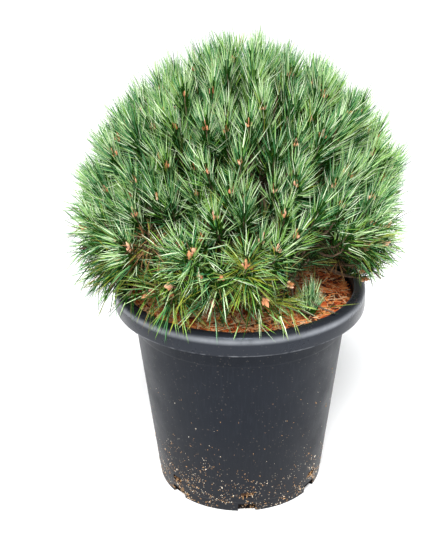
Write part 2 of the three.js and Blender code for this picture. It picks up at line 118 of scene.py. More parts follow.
TRUNK_FOOT = MULCH_TOP + 0.0003
TRUNK_TIP = HEART[2] + HEART_RADIUS
TRUNK_LEAN = 0.005
TRUNK_FOOT_RADIUS = 0.015
TRUNK_TIP_RADIUS = 0.0065
TRUNK_FLARE = 0.009

# Whorls: name, boughs, first angle, tilt, wobble, height on the trunk, radius at foot and tip
WHORLS = (
    ("upper", 5, 20.0, 46.0, 5.0, 0.442, 0.0054, 0.0038),
    ("middle", 8, 3.0, 13.0, 4.0, 0.392, 0.0054, 0.0040),
    ("lower", 8, 40.0, -22.0, 3.0, 0.342, 0.0056, 0.0040),
)

UP = np.array([0.0, 0.0, 1.0])


# Colour and nodes

def linear(colour):
    """Linear RGBA of an sRGB hex colour."""
    channels = [int(colour[i:i + 2], 16) / 255 for i in (1, 3, 5)]
    return tuple(c / 12.92 if c <= 0.04045 else ((c + 0.055) / 1.055) ** 2.4 for c in channels) + (1.0,)


def add_node(tree, kind, settings=None, inputs=None):
    """A node with its settings, its constant inputs and its links from other nodes' sockets."""
    node = tree.nodes.new(kind)
    for name, value in (settings or {}).items():
        setattr(node, name, value)
    for name, value in (inputs or {}).items():
        if isinstance(value, bpy.types.NodeSocket):
            tree.links.new(value, node.inputs[name])
        else:
            node.inputs[name].default_value = value
    return node


def new_finish(name, colour, roughness, **constants):
    """A material with one shader: (material, its tree, its shader)."""
    material = bpy.data.materials.new(name)
    material.use_nodes = True
    tree = material.node_tree
    shader = tree.nodes["Principled BSDF"]
    shader.inputs["Base Color"].default_value = linear(colour)
    shader.inputs["Roughness"].default_value = roughness
    for socket, value in constants.items():
        shader.inputs[socket.replace("_", " ")].default_value = value
    return material, tree, shader


def new_finishes(*rows):
    """Finishes of small repeated things, whose variety comes from several on one piece: rows of name,
    colour and roughness."""
    return [new_finish(*row)[0] for row in rows]


def crumbly(name, colour, roughness, scale, detail, dark, pale, relief=0.0, **constants):
    """Damp matt litter, dark in its gaps and paler on its crumbs, which may stand up from it.

    dark and pale are each a value of the pattern, with the colour that it has there."""
    material, tree, shader = new_finish(name, colour, roughness, **constants)
    place = add_node(tree, "ShaderNodeTexCoord").outputs["Object"]
    crumbs = add_node(tree, "ShaderNodeTexNoise", inputs={
        "Vector": place, "Scale": scale, "Detail": detail}).outputs["Fac"]
    share = add_node(tree, "ShaderNodeMapRange", inputs={
        "Value": crumbs, "From Min": dark[0], "From Max": pale[0]})
    mixed = add_node(tree, "ShaderNodeMix", {"data_type": "RGBA"}, {
        0: share.outputs["Result"], 6: linear(dark[1]), 7: linear(pale[1])})
    tree.links.new(mixed.outputs[2], shader.inputs["Base Color"])
    if relief:
        bump = add_node(tree, "ShaderNodeBump", inputs={
            "Height": crumbs, "Strength": relief, "Distance": 0.002})
        tree.links.new(bump.outputs["Normal"], shader.inputs["Normal"])
    return material


# Small vectors and chance

def heading(angle, tilt):
    """Unit vector at an angle from the front towards the right, tilted up from level."""
    turn, rise = math.radians(angle), math.radians(tilt)
    level = math.cos(rise)
    return np.array([math.sin(turn) * level, -math.cos(turn) * level, math.sin(rise)])


def unit(vectors):
    return vectors / np.maximum(np.linalg.norm(vectors, axis=-1, keepdims=True), 1e-9)


def square_to(axis, rng):
    """Two directions square to an axis and to each other, turned by chance."""
    side = unit(np.cross(axis, rng.normal(0, 1, 3)))
    return side, np.cross(axis, side)


def seeded_random(seed):
    """The source's seeded random numbers from 0 to 1."""
    state = seed
    word = 0xFFFFFFFF

    def draw():
        nonlocal state
        state = (state + 0x6D2B79F5) & word
        mixed = ((state ^ (state >> 15)) * (state | 1)) & word
        mixed ^= (mixed + (mixed ^ (mixed >> 7)) * (mixed | 61)) & word
        return (mixed ^ (mixed >> 14)) / 4294967296

    return draw


# Meshes from arrays

def new_piece(name, points, faces, materials, material_index=None, smooth=False):
    """A piece at the origin from arrays of corners and triangles."""
    mesh = bpy.data.meshes.new(name)
    mesh.vertices.add(len(points))
    mesh.vertices.foreach_set("co", np.asarray(points, np.float32).ravel())
    mesh.loops.add(faces.size)
    mesh.loops.foreach_set("vertex_index", faces.astype(np.int32).ravel())
    mesh.polygons.add(len(faces))
    mesh.polygons.foreach_set("loop_start", np.arange(0, faces.size, 3, dtype=np.int32))
    if material_index is not None:
        mesh.polygons.foreach_set("material_index", material_index.astype(np.int32))
    mesh.polygons.foreach_set("use_smooth", np.full(len(faces), smooth))
    for material in materials:
        mesh.materials.append(material)
    mesh.update(calc_edges=True)
    piece = bpy.data.objects.new(name, mesh)
    bpy.context.scene.collection.objects.link(piece)
    return piece


def settle(piece, slot, *nodes):
    """The piece rides on the one body and stands for these nodes, which are hidden; slot is not used."""
    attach(piece, "root")
    if nodes:
        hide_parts(*nodes)


def deselect_all():
    for item in bpy.context.selected_objects:
        item.select_set(False)


def work_on(item):
    deselect_all()
    item.select_set(True)
    bpy.context.view_layer.objects.active = item


def apply_modifier(item, name, kind, **settings):
    work_on(item)
    modifier = item.modifiers.new(name, kind)
    for key, value in settings.items():
        setattr(modifier, key, value)
    bpy.ops.object.modifier_apply(modifier=name)


# Container of black injection-moulded polypropylene

def body_radius(z):
    return FOOT_RADIUS + (BODY_TOP_RADIUS - FOOT_RADIUS) * (z / LIP_EDGE)


def rounded(profile):
    """Profile points of (radius, height, fillet), each corner with a fillet drawn as an arc."""
    drawn = []
    for i, (r, z, fillet) in enumerate(profile):
        corner = Vector((r, z))
        if fillet == 0 or i in (0, len(profile) - 1):
            drawn.append((r, z))
            continue
        before = (Vector(profile[i - 1][:2]) - corner).normalized()
        after = (Vector(profile[i + 1][:2]) - corner).normalized()
        start, end = corner + before * fillet, corner + after * fillet
        steps = 2 + int(fillet / ARC_STEP)
        for k in range(steps + 1):
            share = k / steps
            point = start.lerp(corner, share).lerp(corner.lerp(end, share), share)
            drawn.append((point.x, point.y))
    return drawn


def turn_profile(name, profile, count):
    """Round wall raised from a circle, ring by ring, and closed at both ends."""
    bpy.ops.mesh.primitive_circle_add(vertices=count, radius=profile[0][0], fill_type="NOTHING")
    piece = bpy.context.object
    piece.name = name
    bpy.ops.object.mode_set(mode="EDIT")
    bpy.ops.mesh.select_all(action="SELECT")
    bpy.ops.transform.translate(value=(0, 0, profile[0][1]))
    bpy.ops.mesh.edge_face_add()
    for (r0, z0), (r1, z1) in zip(profile, profile[1:]):
        bpy.ops.mesh.extrude_region_move(TRANSFORM_OT_translate={"value": (0, 0, z1 - z0)})
        bpy.ops.transform.resize(value=(r1 / r0, r1 / r0, 1), center_override=(0, 0, 0))
    bpy.ops.object.mode_set(mode="OBJECT")
    return piece


def cutter_box(angle, size, reach, z, bevel):
    """Box with rounded edges, turned to an angle at a reach from the middle."""
    bpy.ops.mesh.primitive_cube_add(size=1)
    box = bpy.context.object
    out = Vector(heading(angle, 0)) * reach
    box.scale = size
    bpy.ops.object.transform_apply(location=False, rotation=False, scale=True)
    apply_modifier(box, "ends", "BEVEL", width=bevel, segments=5)
    box.rotation_euler = (0, 0, math.radians(angle))
    box.location = (out.x, out.y, z)
    work_on(box)
    bpy.ops.object.transform_apply(location=True, rotation=True, scale=False)
    return box


def moulded_black():
    """Black polypropylene from a polished mould, handled outdoors: it is dark blue-grey with a soft
    gloss, faint vertical scuffs and a dust of dried mud that thickens towards the foot."""
    material, tree, shader = new_finish("moulded_polypropylene_black", "#090b0f", 0.40, IOR=1.49,
                                        Specular_IOR_Level=0.2, Specular_Tint=(0.72, 0.82, 1.0, 1.0))
    place = add_node(tree, "ShaderNodeTexCoord").outputs["Object"]
    height = add_node(tree, "ShaderNodeSeparateXYZ", inputs={"Vector": place}).outputs["Z"]
    # Scuffs 3 mm wide and about 40 mm long run up and down the wall
    stretched = add_node(tree, "ShaderNodeMapping", inputs={"Vector": place, "Scale": (330, 330, 25)})
    # Specks of dried mud about 1 mm across, drawn a little coarser than life so that they show
    specks = add_node(tree, "ShaderNodeTexVoronoi", inputs={"Vector": place, "Scale": 230.0})
    marks = {"height": height, "specks": specks.outputs["Distance"]}
    # Clouds of dust, which also break up the painted shoulder highlight, are about 60 mm across, and the
    # moulded grain is about 0.6 mm
    for name, vector, scale, detail, coarse in (
        ("scuffs", stretched.outputs["Vector"], 1.0, 4.0, 0.6),
        ("clouds", place, 16.0, 5.0, 0.65),
        ("spots", place, 120.0, 1.0, 0.5),
        ("breaks", place, 75.0, 4.0, 0.5),
        ("grain", place, 900.0, 2.0, 0.5),
    ):
        marks[name] = add_node(tree, "ShaderNodeTexNoise", inputs={
            "Vector": vector, "Scale": scale, "Detail": detail, "Roughness": coarse}).outputs["Fac"]
    for name, level in (("off_shoulder", RIM_TOP - 0.0080), ("off_edge", LIP_EDGE + 0.0008)):
        above = add_node(tree, "ShaderNodeMath", {"operation": "SUBTRACT"}, {0: height, 1: level})
        marks[name] = add_node(tree, "ShaderNodeMath", {"operation": "ABSOLUTE"}, {
            0: above.outputs["Value"]}).outputs["Value"]
    # Share of each mark: what it reads, from which value to which, and the share at either end
    for name, mark, start, end, low, high in (
        ("scuffed", "scuffs", 0.5, 0.85, 0.0, 0.5),
        ("low", "height", 0.0, 0.16, 0.85, 0.12),
        ("speck", "specks", 0.12, 0.26, 1.0, 0.0),
        ("chosen", "spots", 0.50, 0.58, 0.0, 1.0),
        ("near_foot", "height", 0.035, 0.085, 1.0, 0.10),
        ("on_lip", "height", LIP_EDGE - 0.001, LIP_EDGE + 0.001, 0.0, 0.5),
        # The next two rows shape the painted highlight along the rounded shoulder, broken into patches
        ("along_shoulder", "off_shoulder", 0.0, 0.0062, 1.0, 0.0),
        ("highlight_patches", "clouds", 0.35, 0.7, 0.45, 1.0),
        ("along_edge", "off_edge", 0.0004, 0.0016, 1.0, 0.0),
        ("broken", "breaks", 0.42, 0.66, 0.0, 0.6),
        ("dull", "clouds", 0.3, 0.75, 0.36, 0.58),
    ):
        easing = "SMOOTHSTEP" if name == "along_shoulder" else "LINEAR"
        marks[name] = add_node(tree, "ShaderNodeMapRange", {"interpolation_type": easing}, {
            "Value": marks[mark], "From Min": start, "From Max": end,
            "To Min": low, "To Max": high}).outputs["Result"]
    for name, first, second in (
        ("dust", "clouds", "low"),
        ("seen", "speck", "chosen"),
        ("mud", "seen", "near_foot"),
        ("shoulder_highlight", "along_shoulder", "highlight_patches"),
        ("pale_edge_line", "along_edge", "broken"),
    ):
        marks[name] = add_node(tree, "ShaderNodeMath", {"operation": "MULTIPLY"}, {
            0: marks[first], 1: marks[second]}).outputs["Value"]
    # One over the other: the lip is painted a lighter grey as sheen, its rounded shoulder carries a painted
    # highlight in patches, and its lower edge is pale in broken lengths
    colour = linear("#0f1218")
    for name, tone in (("scuffed", "#23272d"), ("dust", "#262423"), ("mud", "#b0a493"),
                       ("on_lip", "#2d2f34"), ("shoulder_highlight", "#82858a"), ("pale_edge_line", "#787a7e")):
        colour = add_node(tree, "ShaderNodeMix", {"data_type": "RGBA"}, {
            0: marks[name], 6: colour, 7: linear(tone)}).outputs[2]
    tree.links.new(colour, shader.inputs["Base Color"])
    polish = add_node(tree, "ShaderNodeMath", {"operation": "MULTIPLY"}, {0: marks["on_lip"], 1: 0.30})
    gloss = add_node(tree, "ShaderNodeMath", {"operation": "SUBTRACT"}, {
        0: marks["dull"], 1: polish.outputs["Value"]})
    tree.links.new(gloss.outputs["Value"], shader.inputs["Roughness"])
    bump = add_node(tree, "ShaderNodeBump", inputs={
        "Height": marks["grain"], "Strength": 0.12, "Distance": 0.0004})
    tree.links.new(bump.outputs["Normal"], shader.inputs["Normal"])
    return material


def shaded_recess():
    """Inside of the notches and drain holes: the same plastic, dull and painted near-black as shade, in clods
    about 3 mm across that run from black to dark brown."""
    return crumbly("plastic_recess_painted_shade", "#0c0a09", 0.9, 330.0, 4.0,
                   (0.45, "#07070a"), (0.7, "#33251a"), Specular_IOR_Level=0.1)


def make_pot():
    """Container turned from its profile, with the notches and drain holes cut from its foot."""
    collar_foot, lip_under = LIP_EDGE + 0.006, RIM_TOP - 0.008
    collar_outside, body_inside = COLLAR_RADIUS + WALL, BODY_TOP_RADIUS - WALL
    floor_top = FLOOR_UNDER + WALL
    # Radius, height and fillet, from the floor's underside round the outside to the floor's top
    profile = rounded([
        (FOOT_RADIUS - FOOT_RING, FLOOR_UNDER, 0),
        (FOOT_RADIUS - FOOT_RING, 0.0, 0.001),
        (FOOT_RADIUS, 0.0, 0.0016),
        (body_radius(STEP_Z) - 0.0006, STEP_Z - 0.001, 0.0008),
        (body_radius(STEP_Z) + 0.0002, STEP_Z + 0.001, 0.0008),
        (body_radius(RIDGE_Z), RIDGE_Z, 0.001),
        (body_radius(RIDGE_Z) + 0.0007, RIDGE_Z + 0.0016, 0.001),
        (BODY_TOP_RADIUS + 0.001, LIP_EDGE - 0.002, 0.002),
        (collar_outside, collar_foot, 0.003),
        (collar_outside, lip_under, 0.002),
        (RIM_RADIUS - 0.0025, lip_under, 0.002),
        (RIM_RADIUS - 0.0026, LIP_EDGE, 0.0008),
        (RIM_RADIUS - 0.0004, LIP_EDGE, 0.0011),
        (RIM_RADIUS, RIM_TOP, 0.0105),
        (COLLAR_RADIUS, RIM_TOP, 0.0062),
        (COLLAR_RADIUS, collar_foot, 0.003),
        (body_inside, LIP_EDGE, 0.003),
        (body_radius(floor_top) - WALL, floor_top, 0),
    ])
    pot = turn_profile("container", profile, ROUND_SIDES)
    pot.data.materials.append(moulded_black())
    work_on(pot)
    bpy.ops.object.mode_set(mode="EDIT")
    bpy.ops.mesh.select_all(action="DESELECT")
    bpy.ops.mesh.select_non_manifold()
    bpy.ops.mesh.edge_face_add()
    bpy.ops.mesh.select_all(action="SELECT")
    bpy.ops.mesh.normals_make_consistent(inside=False)
    bpy.ops.object.mode_set(mode="OBJECT")
    notch = ((NOTCH_WIDTH, 3 * NOTCH_DEPTH, 2 * NOTCH_HEIGHT), FOOT_RADIUS + NOTCH_DEPTH / 2, 0, 0.0008)
    drain = ((DRAIN_WIDTH, 0.022, DRAIN_HEIGHT), FOOT_RADIUS + 0.003, DRAIN_Z, 0.0026)
    cutters = [cutter_box(angle, *shape) for angle in NOTCH_ANGLES for shape in (notch, drain)]
    deselect_all()
    for cutter in cutters:
        cutter.select_set(True)
    bpy.context.view_layer.objects.active = cutters[0]
    bpy.ops.object.join()
    tool = bpy.context.object
    # The cut faces take a finish painted near-black as shade
    tool.data.materials.append(shaded_recess())
    apply_modifier(pot, "notches", "BOOLEAN", operation="DIFFERENCE", object=tool, solver="EXACT",
                   material_mode="TRANSFER")
    bpy.data.objects.remove(tool)
    work_on(pot)
    bpy.ops.object.shade_smooth_by_angle(angle=math.radians(32))
    settle(pot, "pot", "pot")


# Trunk and boughs

def bezier(points, shares):
    """Points along a Bezier curve of three or four control points."""
    shares = np.asarray(shares)[:, None]
    rest = 1 - shares
    if len(points) == 3:
        a, b, c = points
        return rest ** 2 * a + 2 * rest * shares * b + shares ** 2 * c
    a, b, c, d = points
    return rest ** 3 * a + 3 * rest ** 2 * shares * b + 3 * rest * shares ** 2 * c + shares ** 3 * d


def tangents(line):
    return unit(np.gradient(line, axis=0))


def tube(line, radii, sides, relief=0.0):
    """Corners and triangles of a closed tube along a line, with bark plates raised on it."""
    along = tangents(line)
    side = unit(np.cross(along, [0.31, 0.17, 0.93] if abs(along[0][2]) < 0.9 else [0.9, 0.31, 0.2]))
    across = np.cross(along, side)
    turns = np.linspace(0, 2 * math.pi, sides, endpoint=False)
    ring = side[:, None] * np.cos(turns)[None, :, None] + across[:, None] * np.sin(turns)[None, :, None]
    grown = np.repeat(np.asarray(radii)[:, None], sides, axis=1)
    if relief:
        for i, j in np.ndindex(grown.shape):
            spot = Vector(line[i] + ring[i, j] * grown[i, j])
            cell = noise.voronoi(Vector((spot.x * 150, spot.y * 150, spot.z * 60)))[0]
            plate = min((cell[1] - cell[0]) * 2.5, 1.0)
            grown[i, j] *= 1 + relief * (plate - 0.75) + 0.05 * noise.noise(spot * 60)
    corners = line[:, None] + ring * grown[:, :, None]
    count = len(line)
    here = np.arange(count - 1)[:, None] * sides + np.arange(sides)[None]
    right = np.arange(count - 1)[:, None] * sides + (np.arange(sides)[None] + 1) % sides
    first = np.stack([here, right, right + sides], axis=-1).reshape(-1, 3)
    second = np.stack([here, right + sides, here + sides], axis=-1).reshape(-1, 3)
    foot, tip = count * sides, count * sides + 1
    turn = np.arange(sides)
    after = (turn + 1) % sides
    last = (count - 1) * sides
    caps = np.concatenate([
        np.stack([np.full(sides, foot), after, turn], axis=-1),
        np.stack([np.full(sides, tip), last + turn, last + after], axis=-1),
    ])
    points = np.concatenate([corners.reshape(-1, 3), line[:1], line[-1:]])
    return points, np.concatenate([first, second, caps])


def joined(parts):
    """Several (corners, triangles) as one."""
    points, faces, start = [], [], 0
    for corners, triangles in parts:
        points.append(corners)
        faces.append(triangles + start)
        start += len(corners)
    return np.concatenate(points), np.concatenate(faces)


def pine_bark():
    """Scots pine bark: thin orange-brown scales about 7 mm across over grey-brown plates, dry and matt."""
    material, tree, shader = new_finish("scots_pine_bark", "#7a5c45", 0.88)
    place = add_node(tree, "ShaderNodeTexCoord").outputs["Object"]
    stretched = add_node(tree, "ShaderNodeMapping", inputs={"Vector": place, "Scale": (1, 1, 0.45)})
    plates = add_node(tree, "ShaderNodeTexVoronoi", {"feature": "DISTANCE_TO_EDGE"}, {
        "Vector": stretched.outputs["Vector"], "Scale": 150.0})
    edge = add_node(tree, "ShaderNodeMapRange", inputs={
        "Value": plates.outputs["Distance"], "From Min": 0.0, "From Max": 0.14}).outputs["Result"]
    patches = add_node(tree, "ShaderNodeTexNoise", inputs={"Vector": place, "Scale": 150.0, "Detail": 4.0})
    warm = add_node(tree, "ShaderNodeMix", {"data_type": "RGBA"}, {
        0: patches.outputs["Fac"], 6: linear("#7a5c45"), 7: linear("#a5714a")})
    cracked = add_node(tree, "ShaderNodeMix", {"data_type": "RGBA"}, {
        0: edge, 6: linear("#2e2119"), 7: warm.outputs[2]})
    tree.links.new(cracked.outputs[2], shader.inputs["Base Color"])
    bump = add_node(tree, "ShaderNodeBump", inputs={"Height": edge, "Strength": 0.6, "Distance": 0.001})
    tree.links.new(bump.outputs["Normal"], shader.inputs["Normal"])
    return material


trunk_curve = [
    np.array([0, 0, TRUNK_FOOT]),
    np.array([0, 0, TRUNK_FOOT + 0.060]),
    np.array([TRUNK_LEAN, -0.6 * TRUNK_LEAN, TRUNK_TIP - 0.060]),
    np.array([0, 0, TRUNK_TIP]),
]


def make_trunk(bark):
    """Short stem with a flared foot, up through the leafless heart."""
    shares = np.linspace(0, 1, 60)
    line = bezier(trunk_curve, shares)
    radii = TRUNK_FOOT_RADIUS + (TRUNK_TIP_RADIUS - TRUNK_FOOT_RADIUS) * shares
    radii += TRUNK_FLARE * np.exp(-shares / 0.06)
    points, faces = tube(line, radii, 36, relief=0.16)
    points[:, 2] = np.clip(points[:, 2], TRUNK_FOOT, TRUNK_TIP)
    settle(new_piece("trunk_bark", points, faces, [bark], smooth=True), "bark", "trunk")


def mass_list():
    """Masses of foliage: name, heading from the heart, whorl or None, angle, place in the whorl."""
    draw = seeded_random(21)
    masses = [("top", heading(0, 90), None, 0, 0)]
    for whorl in WHORLS:
        name, count, start, tilt, wobble = whorl[:5]
        for i in range(count):
            angle = start + i * 360 / count + (draw() - 0.5) * 2 * wobble
            lift = tilt + (draw() - 0.5) * 2 * wobble
            title = "low_tuft" if (name, i) == ("lower", 0) else f"{name}_{i + 1}"
            masses.append((title, heading(angle, lift), whorl, angle, i))
    return masses


masses = mass_list()
mass_heads = np.array([mass[1] for mass in masses])


def make_boughs(bark):
    """Boughs that leave the trunk a little above level and bend into their masses."""
    parts = []
    for title, toward, whorl, angle, place in masses:
        if whorl is None:
            continue
        height, foot_radius, tip_radius = whorl[5:]
        share = (height + (0.007 if place % 2 else -0.007) - TRUNK_FOOT) / (TRUNK_TIP - TRUNK_FOOT)
        start = bezier(trunk_curve, [share])[0]
        end = HEART + toward * HEART_RADIUS
        shares = np.linspace(0.06, 1, 22)
        line = bezier([start, start + heading(angle, 20) * 0.034, end - toward * 0.026, end], shares)
        radii = foot_radius + (tip_radius - foot_radius) * shares + 0.002 * np.exp(-shares / 0.15)
        parts.append(tube(line, radii, 14, relief=0.14))
    boughs = new_piece("boughs_bark", *joined(parts), [bark], smooth=True)
    settle(boughs, "bark", *[f"bough_{mass[0]}" for mass in masses if mass[2]])


# Crown

def crown_ratio(points):
    """How far out each point lies, as a ratio that is 1 on the crown's face."""
    up = points[..., 2] >= CROWN_MIDDLE
    power = np.where(up, CROWN_UP_POWER, CROWN_DOWN_POWER)
    height = np.where(up, CROWN_UP, CROWN_DOWN)
    reach = np.hypot(points[..., 0], points[..., 1]) / CROWN_RADIUS
    return reach ** power + (np.abs(points[..., 2] - CROWN_MIDDLE) / height) ** power


def crown_face(toward):
    """Distance from the heart to the crown's face along each direction."""
    near, far = np.zeros(len(toward)), np.full(len(toward), 0.4)
    for _ in range(24):
        middle = (near + far) / 2
        inside = crown_ratio(HEART + toward * middle[:, None]) < 1
        near, far = np.where(inside, middle, near), np.where(inside, far, middle)
    return near


def above_edge(points, hollow_depth):
    """Height above the crown's raised front edge. The low front boughs are short, most of all where one
    has died back to the front's right, so the mulch shows before them."""
    x = points[..., 0]
    hollow = np.exp(-((x - HOLLOW_X) / HOLLOW_HALF) ** 4)
    left = np.exp(-((x - LEFT_X) / LEFT_HALF) ** 2)
    line = EDGE_LINE - hollow_depth * hollow - LEFT_DEPTH * left
    return points[..., 2] - MULCH_TOP - EDGE_RISE * (-points[..., 1] - line)


def clear_of_pot(points):
    """Above the lip, outside it, or over the mulch within the collar."""
    reach = np.hypot(points[..., 0], points[..., 1])
    z = points[..., 2]
    over = z > RIM_TOP + 0.0015
    outside = (reach > RIM_RADIUS + 0.002) & (z > LIP_EDGE)
    within = (reach < COLLAR_RADIUS - 0.004) & (z > MULCH_TOP + 0.003)
    return over | outside | within


def golden_spread(count, lowest):
    """Directions spread evenly over a sphere, down to a lowest rise."""
    i = np.arange(count)
    rise = 1 - 2 * (i + 0.5) / count
    turn = i * math.pi * (3 - math.sqrt(5))
    level = np.sqrt(1 - rise ** 2)
    spread = np.stack([np.cos(turn) * level, np.sin(turn) * level, rise], axis=-1)
    return spread[rise > lowest]


def shoots_at(layer, rng):
    """Shoots spread evenly over the crown, whose needles end a depth inside its face: ends and axes."""
    toward = unit(golden_spread(layer["count"], LOWEST_RISE) + rng.normal(0, 0.035, (1, 3)))
    toward = unit(toward + rng.normal(0, 0.05, toward.shape))
    rise = toward[:, 2]
    lean = np.interp(rise, [-0.5, -0.1, 0.1, 0.25, 0.45, 0.9], [0.05, 0.25, 0.55, 1.1, 1.4, 1.2])
    lean *= 1 + 0.8 * np.clip(-toward[:, 1], 0, 1) * np.clip(rise / 0.25, 0, 1)
    jitter = np.interp(rise, [0.0, 0.3], [0.22, 0.14])[:, None]
    axis = unit(toward + UP * lean[:, None] + rng.normal(0, 1, toward.shape) * jitter)
    leader = np.clip((rise - LEADER_FROM) / (1 - LEADER_FROM), 0, 1) * LEADER_RISE
    unevenness = np.clip(rng.normal(0, layer["uneven"], len(toward)), -0.03, 0.012)
    reach = crown_face(toward) + leader - layer["depth"] + unevenness
    # Fuller on the left at mid height and on the right above it, and flatter at the top left
    for side, swell, middle, span in ((-1, 0.008, 0.25, 0.4), (1, 0.018, 0.6, 0.28)):
        reach += swell * np.clip(side * toward[:, 0], 0, 1) * np.clip(1 - np.abs(rise - middle) / span, 0, 1)
    reach -= 0.018 * np.clip(-toward[:, 0], 0, 1) * np.clip((rise - 0.8) / 0.1, 0, 1)
    reach += 0.006 * np.clip((rise - 0.4) / 0.2, 0, 1)
    ends = HEART + toward * reach[:, None] - axis * np.interp(rise, [0.5, 0.9], [0.040, 0.030])[:, None]
    hollow = layer["hollow"]
    kept = clear_of_pot(ends) & (above_edge(ends, hollow) > rng.uniform(0.004, 0.020, len(ends)))
    kept &= np.linalg.norm(ends - BARE_PLACE, axis=1) > layer["bare"]
    thin = np.clip((0.430 - ends[:, 2]) / 0.05, 0, 1) * np.clip(-ends[:, 1] / 0.1, 0, 1)
    kept &= rng.random(len(ends)) > 0.60 * thin
    return ends[kept], axis[kept]


def owner_of(ends):
    return np.argmax(unit(ends - HEART) @ mass_heads.T, axis=1)


def twig_line(end, axis, mass, rng):
    """Curve of a twig from its mass's stem to its shoot's end."""
    stem = HEART + mass_heads[mass] * (HEART_RADIUS + 0.045 * rng.random())
    away = np.linalg.norm(end - stem)
    return bezier([stem, end - axis * 0.55 * away, end], np.linspace(0, 1, TWIG_STEPS))


def brush(line, fascicles, length, openness, rng):
    """Needles of one shoot, in pairs set on a spiral: foot, direction, inner normal, curl, length.

    A closed brush is long and points forwards; an open one is a rosette round its bud."""
    bearing = 0.050 - 0.020 * openness
    lengths = np.concatenate([[0], np.cumsum(np.linalg.norm(np.diff(line, axis=0), axis=1))])
    back = 0.002 + bearing * (np.arange(fascicles) + rng.random(fascicles)) / fascicles
    spot = np.clip(lengths[-1] - back, 0, None)
    foot, axis = (np.stack([np.interp(spot, lengths, row) for row in rows.T], axis=-1)
                  for rows in (line, tangents(line)))
    axis = unit(axis)
    side, across = square_to(axis, rng)
    turn = np.arange(fascicles) * GOLDEN_TURN + rng.normal(0, 0.25, fascicles)
    out = side * np.cos(turn)[:, None] + across * np.sin(turn)[:, None]
    low, high = 7 + 20 * openness, 30 + 54 * openness
    tilt = np.radians(low + (high - low) * (back / bearing) ** 0.75 + rng.normal(0, 5, fascicles))
    toward = axis * np.cos(tilt)[:, None] + out * np.sin(tilt)[:, None]
    split = unit(np.cross(toward, rng.normal(0, 1, toward.shape)))
    opening = rng.uniform(0.02, 0.08, fascicles)[:, None]
    needle = np.concatenate([unit(toward + split * opening), unit(toward - split * opening)])
    inner = np.concatenate([-split, split])
    bow = np.tile(out * 0.7 - axis * 0.2, (2, 1)) * (0.25 + 1.2 * openness)
    curl = bow + rng.normal(0, 0.35, (2 * fascicles, 3)) - UP * (0.1 + 1.1 * openness)
    size = np.repeat(length * rng.uniform(0.8, 1.12, fascicles)[None], 2, axis=0).ravel()
    return np.tile(foot, (2, 1)), needle, inner, curl, size * rng.uniform(0.95, 1.03, 2 * fascicles)


def needle_points(foot, needle, curl, length, share):
    bent = 0.11 * share ** 2
    return foot + needle * (length * share)[:, None] + curl * (length * bent)[:, None]


def within_reach(foot, needle, curl, length, hollow, dip):
    """Needles that stay within the model's reach and clear of the container and the open mulch."""
    tip = needle_points(foot, needle, curl, length, 1.0)
    x, y, z = tip.T
    right, left = np.clip(x / 0.1, 0, 1), np.clip(-x / 0.1, 0, 1)
    limit = REACH - left * np.interp(z, [0.300, 0.330], [0.045, 0])
    limit -= right * np.interp(z, [0.323, 0.378, 0.430, 0.480], [0.071, 0.011, 0.009, 0])
    kept = (np.hypot(x, y) < limit) & (z < cad_high.z + 0.003)
    kept &= above_edge(tip, hollow) > -dip
    for share in (0.3, 0.6, 0.8, 1.0):
        kept &= clear_of_pot(needle_points(foot, needle, curl, length, share))
    return kept


def ladder(rings):
    """Triangles of a three-sided needle with these rings and a point, by the segment that each is in:
    (corners, segment, whether it is on the flat inner face)."""
    found = []
    for side in range(3):
        after = (side + 1) % 3
        for ring in range(rings - 1):
            a, b = 3 * ring + side, 3 * ring + after
            found += [((a, b, b + 3), ring, side == 0), ((a, b + 3, a + 3), ring, side == 0)]
        last = 3 * (rings - 1)
        found.append(((last + side, last + after, 3 * rings), rings - 1, side == 0))
    found.append(((0, 2, 1), 0, False))
    return [np.array(column) for column in zip(*found)]


# Rings of each kind of needle, as shares of its length and of its girth
NEEDLES = {
    "arching": ((0.0, 0.7), (0.4, 1.0), (0.75, 0.85)),
    "straight": ((0.0, 0.7), (0.42, 1.0)),
    "hidden": ((0.0, 1.0),),
}


def needle_mesh(foot, needle, inner, curl, length, width, outer, bloom, kind):
    """Corners, triangles and tints of half-round needles: a flat inner face and two outer faces.

    The foot of a needle, down in its shoot, is painted deep green as shade."""
    flat = unit(inner - needle * np.sum(inner * needle, axis=1, keepdims=True))
    side = np.cross(needle, flat)
    half, deep = width[:, None] / 2, width[:, None] * 0.32
    rings = []
    for share, girth in NEEDLES[kind]:
        middle = needle_points(foot, needle, curl, length, share)
        rings += [middle + (side * half + flat * deep) * girth,
                  middle + (-side * half + flat * deep) * girth,
                  middle - flat * deep * 1.4 * girth]
    rings.append(needle_points(foot, needle, curl, length, 1.0))
    corners = np.stack(rings, axis=1)
    faces, segment, on_inner = ladder(len(NEEDLES[kind]))
    start = np.arange(len(foot))[:, None, None] * corners.shape[1]
    tint = np.where(on_inner[None], bloom[:, None], outer[:, None])
    if kind != "hidden":
        # Painted shade: the first segment of each living needle takes deep green
        shaded = (segment[None] == 0) & np.isin(outer, (BLUE, MID, PALE, OLIVE))[:, None]
        tint = np.where(shaded, DEEP, tint)
    return corners.reshape(-1, 3), (start + faces[None]).reshape(-1, 3), tint.ravel()


